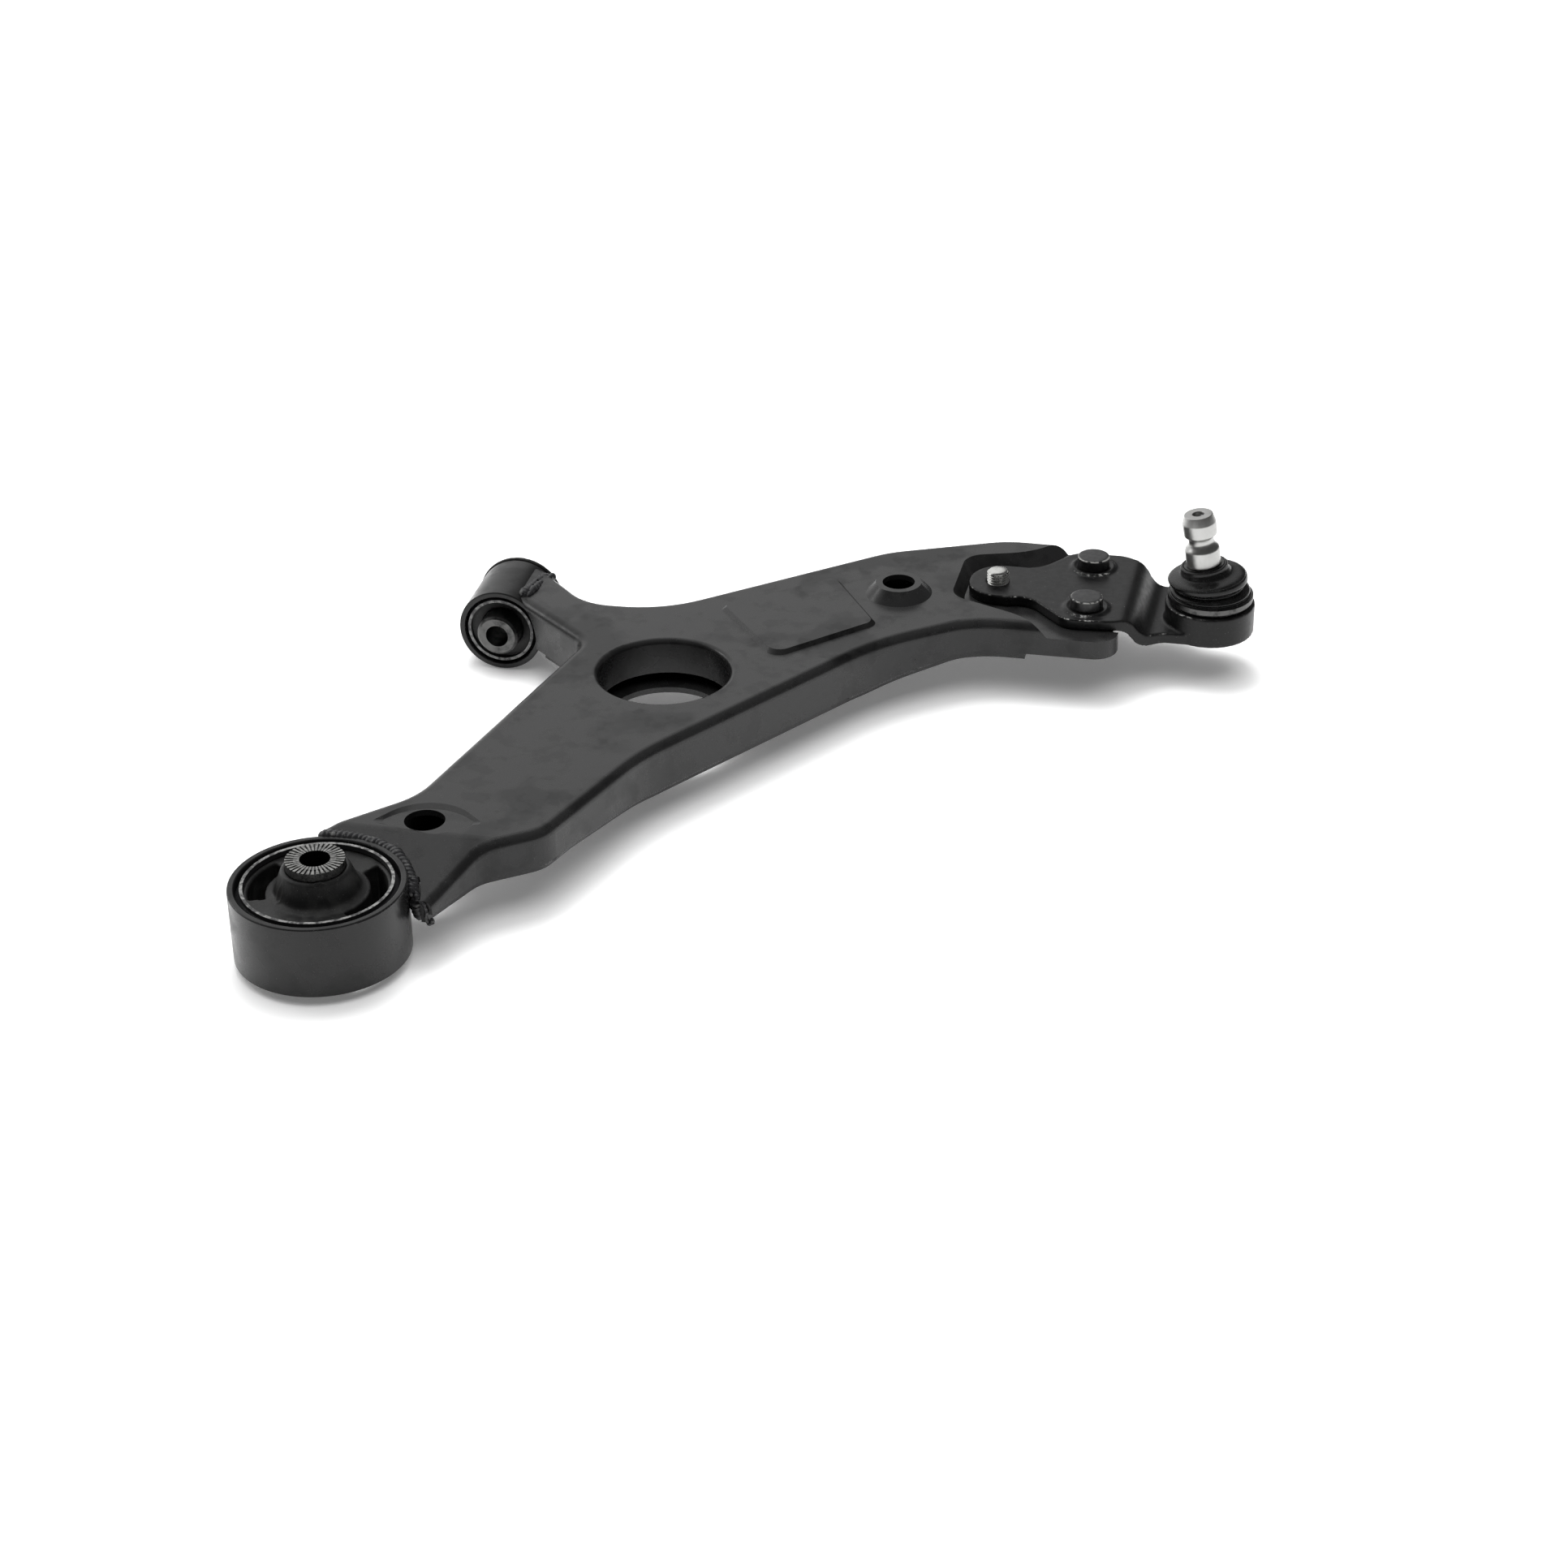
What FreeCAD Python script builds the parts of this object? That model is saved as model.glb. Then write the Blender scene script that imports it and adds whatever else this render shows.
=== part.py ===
import FreeCAD, Part
import math
import os

# Lower suspension control arm, all sizes in millimetres.
# Origin: the large rear bush, on its bore axis, half way up its steel ring.
# +Z is up along that bore, +Y runs along the pivot line from the rear bush
# to the front bush, and +X points outboard to the ball joint.

V = FreeCAD.Vector
X_AXIS = V(1, 0, 0)
Y_AXIS = V(0, 1, 0)
Z_AXIS = V(0, 0, 1)

# ---- driving dimensions ----
SHEET = 3.0                 # thickness of both pressed halves
ARM_TOP_Z = 20.0            # top face of the pressed arm
TOP_EDGE_R = 5.0            # bend between the top face and the side walls
RAMP_START_Y = 48.5         # the top starts to fall towards the rear bush here
RAMP_SLOPE_DEG = 15.0
RIDGE_R = 12.0
RECESS_Z = 13.0             # floor of the seat for the ball joint plate
RECESS_FLARE = 5.0          # how far the recess wall leans outwards
LONG_AXIS_DEG = 48.7        # plan direction of the arm's long side
LAP = 4.5                   # how far the lower half shows below the upper
LOWER_WALL = 15.0           # height of the lower half's turned-up wall
TIP_X = 322.5               # the upper half's end wall, cut away at its foot
TIP_SLOT = (320.2, 320.2, 76.0)  # slot in it for the plate's step: x, y, width
LOWER_END_X = 276.0         # the lower half stops short of the plate
LOWER_REAR_END = (33.0, 43.5)   # and of the rear ring, inside this corner
LOWER_FRONT_END = (27.0, 268.0)  # and of the front sleeve, likewise

# plan outline of the arm: x, y, corner radius, anticlockwise
ARM_OUTLINE = [
    (0.0, 0.0, 6.0), (43.0, -14.0, 6.0), (65.0, 41.0, 16.0),
    (91.0, 60.0, 22.0), (117.0, 139.0, 120.0), (206.0, 274.0, 120.0),
    (250.0, 307.0, 45.0), (322.5, 307.0, 12.0), (326.0, 405.0, 16.0),
    (251.0, 405.5, 50.0), (190.0, 379.5, 60.0), (87.0, 292.0, 60.0),
    (47.0, 291.0, 30.0), (12.0, 326.0, 6.0), (-8.0, 322.0, 6.0),
    (0.0, 296.0, 6.0), (57.0, 247.0, 14.0), (20.0, 82.0, 40.0),
    (-15.0, 45.0, 6.0)]

# floor of the seat pressed into the outboard end
RECESS_OUTLINE = [
    (238.0, 336.0, 17.0), (282.0, 318.0, 34.0), (297.0, 288.0, 10.0),
    (380.0, 288.0, 10.0), (380.0, 430.0, 10.0), (292.0, 430.0, 10.0),
    (280.0, 390.0, 34.0), (238.0, 377.0, 17.0)]

# side profile of the underside, along the arm's long axis: s, z, radius
BELLY = [
    (-150.0, -2.5, 1.0), (125.0, -2.5, 60.0), (190.0, -8.5, 60.0),
    (335.0, -8.5, 60.0), (388.0, -2.0, 60.0), (620.0, 0.5, 1.0),
    (620.0, -80.0, 1.0), (-150.0, -80.0, 1.0)]

SMALL_HOLE = (32.0, 60.0, 9.7)
HOLE_FLAT = [
    (11.0, 54.0, 3.0), (40.0, 48.5, 10.0), (57.0, 61.0, 3.0), (30.0, 84.0, 26.0)]
HOLE_FLAT_DEPTH = 1.0
BIG_HOLE = (106.0, 223.0, 33.5)
BIG_LIP = 19.0              # depth of the flange turned down round the big hole
BIG_LIP_R = 2.6             # bend at its upper edge
BOSS = (205.5, 331.0, 17.5)
BOSS_HOLE_R = 8.5
BOSS_TOP_R = 12.0
BOSS_RISE = 6.0
PAD_OUTLINE = [
    (157.0, 246.0, 9.0), (202.0, 292.0, 7.0), (170.0, 341.0, 6.0),
    (117.0, 296.0, 6.0)]
PAD_RISE = 2.0

# rear bush, bore upright
REAR_R = 41.0
REAR_HALF_H = 17.75
REAR_WALL = 3.2
REAR_CAN_WALL = 1.5
REAR_CAN_NECK_R = 35.3      # the can's ends are drawn in to this radius
REAR_HUB_R = 20.0
REAR_TUBE_R = 13.8
REAR_BORE_R = 7.1
REAR_TUBE_TOP = 30.2
REAR_TUBE_BOTTOM = -22.4
LEG_GAP_R = 46.5            # the leg's near wall stops short of the ring
SERRATIONS = 36

# front bush, bore along the pivot line
FRONT_Y = 305.6
FRONT_R = 22.4
FRONT_HALF_L = 19.75
FRONT_WALL = 3.0
FRONT_CAN_WALL = 1.5
FRONT_TUBE_R = 11.0
FRONT_BORE_R = 6.05
FRONT_TUBE_HALF = 26.0

# ball joint
JOINT_X = 366.0
JOINT_Y = 358.0
BALL_Z = 9.5
BALL_R = 12.0
LINER = 1.0
SEAT = 2.0
HOUSING_R = 23.3
HOUSING_BOTTOM = 0.5
HOUSING_TOP = 17.0
NECK_TOP = 20.0
BOOT_SEAT_R = 20.0
MOUTH_R = 10.4              # opening that the stud swings in
SEAT_TOP = 7.3              # the seat's upper edge above the ball's centre
PLATE_T = 6.0
PLATE_TOP = RECESS_Z + PLATE_T
PLATE_OUTLINE = [
    (239.0, 338.5, 17.0), (263.0, 338.5, 8.0), (271.0, 343.0, 14.0),
    (295.0, 318.0, 13.0), (321.0, 320.0, 20.0), (344.0, 336.5, 12.0),
    (388.0, 336.5, 20.0), (388.0, 380.5, 20.0), (358.0, 381.0, 8.0),
    (347.0, 391.0, 9.0), (330.0, 391.0, 24.0), (316.0, 398.0, 14.0),
    (290.0, 398.0, 13.0), (272.0, 373.0, 14.0),
    (263.0, 375.0, 8.0), (239.0, 374.0, 17.0)]
JOG_START_X = 322.0         # the plate steps down between these two
JOG_END_X = 340.0
JOG_SHIFT = 1.8             # the step's underside lies this far inboard of its top
PLATE_SPAN = 120.0          # width and more of the stock the plate is cut from
RIVETS = [(301.3, 381.3), (304.3, 333.5)]
RIVET_HEAD_R = 8.5
RIVET_HEAD_H = 6.5
RIVET_SHANK_R = 6.0
BOLT = (254.2, 356.0)
BOLT_R = 5.9
BOLT_RISE = 6.5

# ball stud: heights are measured from the ball's centre along the stud
STUD_LEAN_DEG = -8.5        # rest lean about +Y, towards the arm
STUD_PIN_R = 9.0
STUD_GROOVE_R = 6.4
STUD_LAND_R = 8.4            # seat of the boot's lip ring, below the pin
STUD_NECK_R = 6.8
STUD_TOP = 57.2
BOOT_LEAN_FROM = 12.2       # the boot stands upright below this height
BOOT_LEAN_TO = 26.0         # and leans with the stud above this one


def rounded_wire(corners, inset=0.0, z=0.0):
    """Closed wire through anticlockwise corners (x, y, radius), pulled in by inset."""
    count = len(corners)
    headings = []
    for i in range(count):
        x0, y0, _ = corners[i]
        x1, y1, _ = corners[(i + 1) % count]
        headings.append(V(x1 - x0, y1 - y0, 0).normalize())
    starts = []
    mids = []
    ends = []
    for i in range(count):
        before = headings[i - 1]
        after = headings[i]
        turn = math.atan2(before.cross(after).z, before.dot(after))
        left = V(-before.y - after.y, before.x + after.x, 0)
        shift = left * (inset / (1.0 + before.dot(after)))
        corner = V(corners[i][0], corners[i][1], z) + shift
        radius = corners[i][2] - math.copysign(inset, turn)
        radius = max(radius, 0.2)
        reach = radius * math.tan(abs(turn) / 2)
        starts.append(corner - before * reach)
        ends.append(corner + after * reach)
        inward = (after - before).normalize()
        to_centre = radius / math.cos(turn / 2)
        mids.append(corner + inward * (to_centre - radius))
    edges = []
    for i in range(count):
        edges.append(Part.Arc(starts[i], mids[i], ends[i]).toShape())
        j = (i + 1) % count
        edges.append(Part.makeLine(ends[i], starts[j]))
    return Part.Wire(edges)


def prism(corners, z0, z1, inset=0.0):
    """Upright solid on a rounded outline, from z0 to z1."""
    face = Part.Face(rounded_wire(corners, inset, z0))
    return face.extrude(V(0, 0, z1 - z0))


def tapered_prism(corners, z0, z1, inset0, inset1):
    """Solid whose outline is pulled in by inset0 at z0 and by inset1 at z1."""
    low = rounded_wire(corners, inset0, z0)
    high = rounded_wire(corners, inset1, z1)
    return Part.makeLoft([low, high], True, True)


def cylinder(radius, z0, z1, x=0.0, y=0.0):
    return Part.makeCylinder(radius, z1 - z0, V(x, y, z0), Z_AXIS)


def tube(outer, inner, z0, z1, x=0.0, y=0.0):
    return cylinder(outer, z0, z1, x, y).cut(cylinder(inner, z0 - 1, z1 + 1, x, y))


def revolve(profile, x=0.0, y=0.0, z=0.0):
    """Solid of revolution about an upright axis from a list of (radius, height)."""
    points = [V(r, 0, h) for r, h in profile]
    face = Part.Face(Part.makePolygon(points + [points[0]]))
    solid = face.revolve(V(0, 0, 0), Z_AXIS, 360)
    solid.translate(V(x, y, z))
    return solid


def along_pivot(solid):
    """Turn a part drawn about the upright axis on to the front bush's axis."""
    turned = solid.copy()
    turned.rotate(V(0, 0, 0), X_AXIS, -90)
    turned.translate(V(0, FRONT_Y, 0))
    return turned


def face_normal_z(face):
    """Upward part of a face's normal at the middle of its patch."""
    u0, u1, v0, v1 = face.ParameterRange
    return face.normalAt((u0 + u1) / 2, (v0 + v1) / 2).z


def round_ridge(form, top):
    """Ease the ridge between the level top and the ramp."""
    ridge = []
    for edge in form.Edges:
        places = [v.Point for v in edge.Vertexes]
        if all(abs(p.y - RAMP_START_Y) < 1e-3 and abs(p.z - top) < 1e-3 for p in places):
            ridge.append(edge)
    return form.makeFillet(RIDGE_R, ridge)


def round_top(form, radius):
    """Round the edges where the top skin meets the side walls."""
    tops = [face for face in form.Faces if face_normal_z(face) > 0.9]
    walls = [face for face in form.Faces if abs(face_normal_z(face)) < 0.3]
    wall_codes = set()
    for face in walls:
        wall_codes.update(edge.hashCode() for edge in face.Edges)
    chosen = []
    for face in tops:
        chosen.extend(edge for edge in face.Edges if edge.hashCode() in wall_codes)
    return form.makeFillet(radius, chosen)


def fillet_level(solid, z, radius):
    """Round every edge that lies wholly at height z."""
    chosen = []
    for edge in solid.Edges:
        box = edge.BoundBox
        if abs(box.ZMin - z) < 1e-4 and abs(box.ZMax - z) < 1e-4:
            chosen.append(edge)
    return solid.makeFillet(radius, chosen)


def belly(raised=0.0):
    """Everything below the arm's underside, raised by a sheet thickness if asked."""
    wire = rounded_wire([(s, z, r) for s, z, r in reversed(BELLY)])
    slab = Part.Face(wire).extrude(V(0, 0, 1200))
    slab.translate(V(0, raised, -600))
    angle = math.radians(LONG_AXIS_DEG)
    along = V(math.cos(angle), math.sin(angle), 0)
    across = V(math.sin(angle), -math.cos(angle), 0)
    turn = FreeCAD.Rotation(along, Z_AXIS, across, "XYZ")
    slab.Placement = FreeCAD.Placement(V(0, 0, 0), turn).multiply(slab.Placement)
    return slab


def ramp(depth):
    """Wedge over the inboard leg that lowers its top towards the rear bush."""
    wedge = Part.makeBox(300, 200, 60, V(-100, -200, 0))
    wedge.rotate(V(0, 0, 0), X_AXIS, RAMP_SLOPE_DEG)
    wedge.translate(V(0, RAMP_START_Y, ARM_TOP_Z - depth))
    return wedge


def arm_form(depth):
    """Solid inside the upper half's outer skin, pulled in by depth all round."""
    top = ARM_TOP_Z - depth
    form = prism(ARM_OUTLINE, -60, top, depth).cut(ramp(depth))
    form = round_top(round_ridge(form, top), TOP_EDGE_R - depth)
    flat = tapered_prism(HOLE_FLAT, top - HOLE_FLAT_DEPTH, top + 2, -depth,
                         -depth - 2 * (HOLE_FLAT_DEPTH + 2))
    form = form.cut(flat)
    rise = ARM_TOP_Z - RECESS_Z + depth
    seat = tapered_prism(RECESS_OUTLINE, RECESS_Z - depth, RECESS_Z + rise,
                         -depth, -depth - RECESS_FLARE * rise / (ARM_TOP_Z - RECESS_Z))
    form = form.cut(seat)
    pad = tapered_prism(PAD_OUTLINE, top - 1, top + PAD_RISE,
                        depth - 1, depth + PAD_RISE)
    boss = Part.makeCone(BOSS[2] - depth, BOSS_TOP_R - depth,
                         BOSS_RISE, V(BOSS[0], BOSS[1], top), Z_AXIS)
    return form.fuse([pad, boss]).removeSplitter()


def sleeve_clearance():
    """Both bush rings, and the open gap beside the rear ring."""
    front = Part.makeCylinder(FRONT_R, 80, V(0, FRONT_Y - 40, 0), Y_AXIS)
    rear = cylinder(REAR_R, -60, 60)
    gap = cylinder(LEG_GAP_R, -60, 60)
    gap = gap.common(Part.makeBox(80, 80, 120, V(20, -59, -60)))
    return front.fuse([rear, gap, Part.makeBox(60, 67, 120, V(20, -60, -60))])


def rolled_hole(radius, z_top, drop):
    """Ring of sheet turned down round a hole, with its rounded shoulder."""
    x, y, _ = BIG_HOLE
    return tube(radius + SHEET, radius, z_top - drop, z_top - 1, x, y)


def round_hole_edge(shell, radius):
    """Bend between the top skin and the flange of the big hole."""
    rim = []
    for edge in shell.Edges:
        box = edge.BoundBox
        level = abs(box.ZMin - ARM_TOP_Z) < 1e-3 and abs(box.ZMax - ARM_TOP_Z) < 1e-3
        if level and isinstance(edge.Curve, Part.Circle) and abs(edge.Curve.Radius - radius) < 1e-3:
            rim.append(edge)
    return shell.makeFillet(BIG_LIP_R, rim)


def make_top_shell():
    shell = arm_form(0.0).cut(arm_form(SHEET))
    shell = shell.cut(belly(LAP))
    x, y, r = BIG_HOLE
    shell = shell.fuse(rolled_hole(r, ARM_TOP_Z, BIG_LIP))
    shell = round_hole_edge(shell.cut(cylinder(r, -60, 60, x, y)), r)
    holes = [cylinder(SMALL_HOLE[2], 5, 60, SMALL_HOLE[0], SMALL_HOLE[1]),
             cylinder(BOSS_HOLE_R, 5, 60, BOSS[0], BOSS[1]),
             cylinder(BOLT_R + 0.6, 5, 60, BOLT[0], BOLT[1])]
    for rx, ry in RIVETS:
        holes.append(cylinder(RIVET_SHANK_R, 5, 60, rx, ry))
    holes.append(Part.makeBox(60, 200, 60, V(TIP_X, 250, -60)))
    slot_x, slot_y, slot_width = TIP_SLOT
    holes.append(Part.makeBox(60, slot_width, 60, V(slot_x, slot_y, -20)))
    return shell.cut(sleeve_clearance()).cut(Part.makeCompound(holes))


def make_bottom_shell():
    inset = SHEET
    pan = prism(ARM_OUTLINE, -60, 60, inset).cut(belly())
    hollow = prism(ARM_OUTLINE, -60, 60, inset + SHEET).cut(belly(SHEET))
    pan = pan.cut(hollow)
    pan = pan.common(belly(LOWER_WALL)).common(arm_form(SHEET))
    x, y, r = BIG_HOLE
    hole = cylinder(r - 4, -60, 60, x, y)
    pan = pan.cut(hole).cut(Part.makeBox(200, 300, 120, V(LOWER_END_X, 200, -60)))
    drain = cylinder(SMALL_HOLE[2], -60, 60, SMALL_HOLE[0], SMALL_HOLE[1])
    rear_x, rear_y = LOWER_REAR_END
    front_x, front_y = LOWER_FRONT_END
    rear_end = Part.makeBox(100, 100, 120, V(rear_x - 100, rear_y - 100, -60))
    front_end = Part.makeBox(100, 100, 120, V(front_x - 100, front_y, -60))
    return pan.cut(sleeve_clearance()).cut(drain).cut(rear_end).cut(front_end)


def make_rear_housing():
    ring = tube(REAR_R, REAR_R - REAR_WALL, -REAR_HALF_H, REAR_HALF_H)
    return fillet_level(ring, REAR_HALF_H, 0.8)


def make_rear_can():
    r = REAR_R - REAR_WALL
    w = REAR_CAN_WALL
    neck = REAR_CAN_NECK_R
    outer = [(neck, -17.5), (neck, -15.5), (r, -12.5), (r, 12.5),
             (neck, 15.5), (neck, 17.6)]
    inner = [(neck - w, 17.6), (neck - w, 15.0), (r - w, 12.0),
             (r - w, -12.0), (neck - w, -15.0), (neck - w, -17.5)]
    return revolve(outer + inner)


def make_rear_rubber():
    r = REAR_R - REAR_WALL - REAR_CAN_WALL
    neck = REAR_CAN_NECK_R - REAR_CAN_WALL
    hub = REAR_HUB_R
    t = REAR_TUBE_R
    profile = [(t, -19.0), (hub - 3, -17.0), (hub, -13.0), (neck, -14.5),
               (r, -12.0), (r, 12.0), (neck, 14.8), (hub + 3, 13.5), (hub, 15.0),
               (t + 2.2, 25.5), (t, 26.5)]
    rubber = revolve(profile)
    for start, sweep in ((-42, 92), (147, 63)):
        void = kidney(24.0, 31.8, start, sweep)
        rubber = rubber.cut(void)
    return rubber


def kidney(inner, outer, start, sweep):
    """Curved slot through the rear rubber, from one angle round by sweep."""
    section = [V(inner, 0, -40), V(outer, 0, -40), V(outer, 0, 40),
               V(inner, 0, 40), V(inner, 0, -40)]
    slot = Part.Face(Part.makePolygon(section)).revolve(V(0, 0, 0), Z_AXIS, sweep)
    slot.rotate(V(0, 0, 0), Z_AXIS, start)
    return slot


def make_rear_tube():
    post = tube(REAR_TUBE_R - 0.05, REAR_BORE_R, REAR_TUBE_BOTTOM, REAR_TUBE_TOP)
    teeth = []
    for i in range(SERRATIONS):
        notch = Part.makeBox(REAR_TUBE_R, 0.9, 1.0, V(REAR_TUBE_R - 4, -0.45, 0))
        notch.translate(V(0, 0, REAR_TUBE_TOP - 0.5))
        notch.rotate(V(0, 0, 0), Z_AXIS, i * 360.0 / SERRATIONS)
        teeth.append(notch)
    return post.cut(Part.makeCompound(teeth))


def make_front_housing():
    ring = tube(FRONT_R, FRONT_R - FRONT_WALL, -FRONT_HALF_L, FRONT_HALF_L)
    ring = fillet_level(ring, FRONT_HALF_L, 0.7)
    ring = fillet_level(ring, -FRONT_HALF_L, 0.7)
    return along_pivot(ring)


def make_front_can():
    r = FRONT_R - FRONT_WALL
    w = FRONT_CAN_WALL
    neck = r - 1.6
    end = FRONT_HALF_L - 0.6
    outer = [(neck, -end), (neck, -end + 1.8), (r, -end + 4), (r, end - 4),
             (neck, end - 1.8), (neck, end)]
    inner = [(neck - w, end), (neck - w, end - 2.4), (r - w, end - 4.6),
             (r - w, -end + 4.6), (neck - w, -end + 2.4), (neck - w, -end)]
    return along_pivot(revolve(outer + inner))


def make_front_rubber():
    r = FRONT_R - FRONT_WALL - FRONT_CAN_WALL
    neck = r - 1.6
    t = FRONT_TUBE_R + 0.02
    end = FRONT_HALF_L - 0.6
    core = [(t, -end + 4), (neck, -end + 3), (neck, -end + 2.4), (r, -end + 4.6),
            (r, end - 4.6), (neck, end - 2.4), (neck, end + 0.6),
            (FRONT_R + 0.6, end + 0.9), (FRONT_R + 0.6, end + 3.4),
            (neck - 3, end + 3.8), (t + 3, end - 2), (t, end - 1)]
    return along_pivot(revolve(core))


def make_front_tube():
    post = tube(FRONT_TUBE_R, FRONT_BORE_R, -FRONT_TUBE_HALF, FRONT_TUBE_HALF)
    for z in (-FRONT_TUBE_HALF, FRONT_TUBE_HALF):
        rims = []
        for edge in post.Edges:
            if abs(edge.BoundBox.ZMin - z) < 1e-4 and abs(edge.BoundBox.ZMax - z) < 1e-4:
                if edge.Curve.Radius > FRONT_BORE_R + 1:
                    rims.append(edge)
        post = post.makeChamfer(1.2, rims)
    return along_pivot(post)


def step_curve(x0, z0, x1, z1, y):
    """Smooth S-curve that leaves and arrives level."""
    level = V((x1 - x0) / 2, 0, 0)
    middle = V((x0 + x1) / 2, y, (z0 + z1) / 2)
    curve = Part.BSplineCurve()
    curve.interpolate(Points=[V(x0, y, z0), middle, V(x1, y, z1)],
                      InitialTangent=level, FinalTangent=level)
    return curve.toShape()


def plate_profile():
    """Side view of the plate: flat on the arm, stepping down to the housing."""
    y = JOINT_Y - PLATE_SPAN / 2
    inner = BOLT[0] - PLATE_SPAN / 4
    outer = JOINT_X + PLATE_SPAN / 4
    low_top = HOUSING_BOTTOM + PLATE_T
    below = JOG_START_X - JOG_SHIFT
    beyond = JOG_END_X - JOG_SHIFT
    edges = [step_curve(JOG_START_X, PLATE_TOP, JOG_END_X, low_top, y),
             step_curve(below, RECESS_Z, beyond, HOUSING_BOTTOM, y),
             Part.makeLine(V(JOG_END_X, y, low_top), V(outer, y, low_top)),
             Part.makeLine(V(outer, y, low_top), V(outer, y, HOUSING_BOTTOM)),
             Part.makeLine(V(outer, y, HOUSING_BOTTOM), V(beyond, y, HOUSING_BOTTOM)),
             Part.makeLine(V(below, y, RECESS_Z), V(inner, y, RECESS_Z)),
             Part.makeLine(V(inner, y, RECESS_Z), V(inner, y, PLATE_TOP)),
             Part.makeLine(V(inner, y, PLATE_TOP), V(JOG_START_X, y, PLATE_TOP))]
    wire = Part.Wire(Part.__sortEdges__(edges))
    return Part.Face(wire).extrude(V(0, PLATE_SPAN, 0))


def make_joint_plate():
    plate = prism(PLATE_OUTLINE, -20, 40).common(plate_profile())
    x, y = JOINT_X, JOINT_Y
    body = cylinder(HOUSING_R, HOUSING_BOTTOM, HOUSING_TOP, x, y)
    boot_seat = cylinder(BOOT_SEAT_R, HOUSING_TOP, NECK_TOP, x, y)
    plate = plate.fuse([body, boot_seat])
    cavity = BALL_R + LINER + SEAT
    bore = cylinder(cavity, HOUSING_BOTTOM - 1, BALL_Z, x, y)
    dome = Part.makeSphere(cavity, V(x, y, BALL_Z))
    mouth = Part.makeCone(MOUTH_R, MOUTH_R + 5.4, 9.0, V(x, y, BALL_Z + 7.6), Z_AXIS)
    cover_step = cylinder(cavity + 2.2, HOUSING_BOTTOM - 1, HOUSING_BOTTOM + 2.0, x, y)
    plate = plate.cut(Part.makeCompound([bore.fuse([dome, mouth, cover_step])]))
    for rx, ry in RIVETS:
        pad = cylinder(RIVET_HEAD_R + 3.2, PLATE_TOP - 1, PLATE_TOP + 0.6, rx, ry)
        pad = pad.common(prism(PLATE_OUTLINE, 0, 40))
        plate = plate.fuse(pad).cut(cylinder(RIVET_SHANK_R, 5, 40, rx, ry))
    return plate.cut(cylinder(BOLT_R, 5, 40, BOLT[0], BOLT[1])).removeSplitter()


def make_rivets():
    """Two shop rivets, each with a flat upper head and a formed lower head."""
    head = PLATE_TOP + 0.6
    under = RECESS_Z - SHEET
    profile = [(0, under - 4.5), (6.0, under - 4.5), (8.5, under - 2.0),
               (8.5, under), (RIVET_SHANK_R, under), (RIVET_SHANK_R, head),
               (RIVET_HEAD_R, head), (RIVET_HEAD_R, head + RIVET_HEAD_H - 0.7),
               (RIVET_HEAD_R - 0.7, head + RIVET_HEAD_H), (0, head + RIVET_HEAD_H)]
    return [revolve(profile, x, y) for x, y in RIVETS]


def make_plate_bolt():
    """Bolt from below, with its hexagon head under the arm."""
    x, y = BOLT
    top = PLATE_TOP + BOLT_RISE
    under = RECESS_Z - SHEET
    shank = [(0, under), (BOLT_R, under), (BOLT_R, top - 1.2), (BOLT_R - 1.2, top),
             (0, top)]
    bolt = revolve(shank, x, y)
    corners = []
    for i in range(7):
        angle = math.radians(60 * i)
        corners.append(V(x + 10.4 * math.cos(angle), y + 10.4 * math.sin(angle), under))
    hexagon = Part.Face(Part.makePolygon(corners)).extrude(V(0, 0, -7.5))
    rings = []
    for i in range(4):
        z = PLATE_TOP + 0.4 + 1.3 * i
        rings.append(revolve([(BOLT_R + 0.2, z), (BOLT_R + 0.2, z + 0.9),
                              (BOLT_R - 0.5, z + 0.45)], x, y))
    return bolt.fuse(hexagon).cut(Part.makeCompound(rings))


def lean(solid):
    """Tip a part of the stud, drawn upright on the ball's centre, to its rest lean."""
    tipped = solid.copy()
    tipped.rotate(V(0, 0, 0), Y_AXIS, STUD_LEAN_DEG)
    tipped.translate(V(JOINT_X, JOINT_Y, BALL_Z))
    return tipped


def make_ball_stud():
    r = BALL_R - 0.03
    pin = STUD_PIN_R
    neck = STUD_NECK_R
    ball = Part.makeSphere(r)
    flat = Part.makeBox(40, 40, 10, V(-20, -20, -r - 10 + 1.0))
    land = STUD_LAND_R
    profile = [(0, 6), (neck, 6), (neck, 18.0), (land, 23.6), (land, 29.1),
               (pin, 29.3), (pin, 38.0),
               (STUD_GROOVE_R + 0.8, 40.2), (STUD_GROOVE_R, 42.0),
               (STUD_GROOVE_R + 0.6, 44.6), (pin - 0.4, 45.8),
               (pin - 0.2, STUD_TOP - 4.5), (pin - 1.6, STUD_TOP), (0, STUD_TOP)]
    stud = ball.cut(flat).fuse(revolve(profile))
    drill = revolve([(0, STUD_TOP - 5), (2.5, STUD_TOP - 2), (3.0, STUD_TOP + 1),
                     (0, STUD_TOP + 1)])
    return lean(stud.cut(drill))


def shell_sector(outer, inner, low, high):
    """Spherical shell about the ball's centre, kept between two heights."""
    shell = Part.makeSphere(outer).cut(Part.makeSphere(inner))
    band = cylinder(outer + 1, low, high)
    part = shell.common(band)
    part.translate(V(JOINT_X, JOINT_Y, BALL_Z))
    return part


def make_liner():
    """Thin low-friction shell that turns with the ball inside the seat."""
    return shell_sector(BALL_R + LINER - 0.03, BALL_R, -7.0, 7.0)


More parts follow.
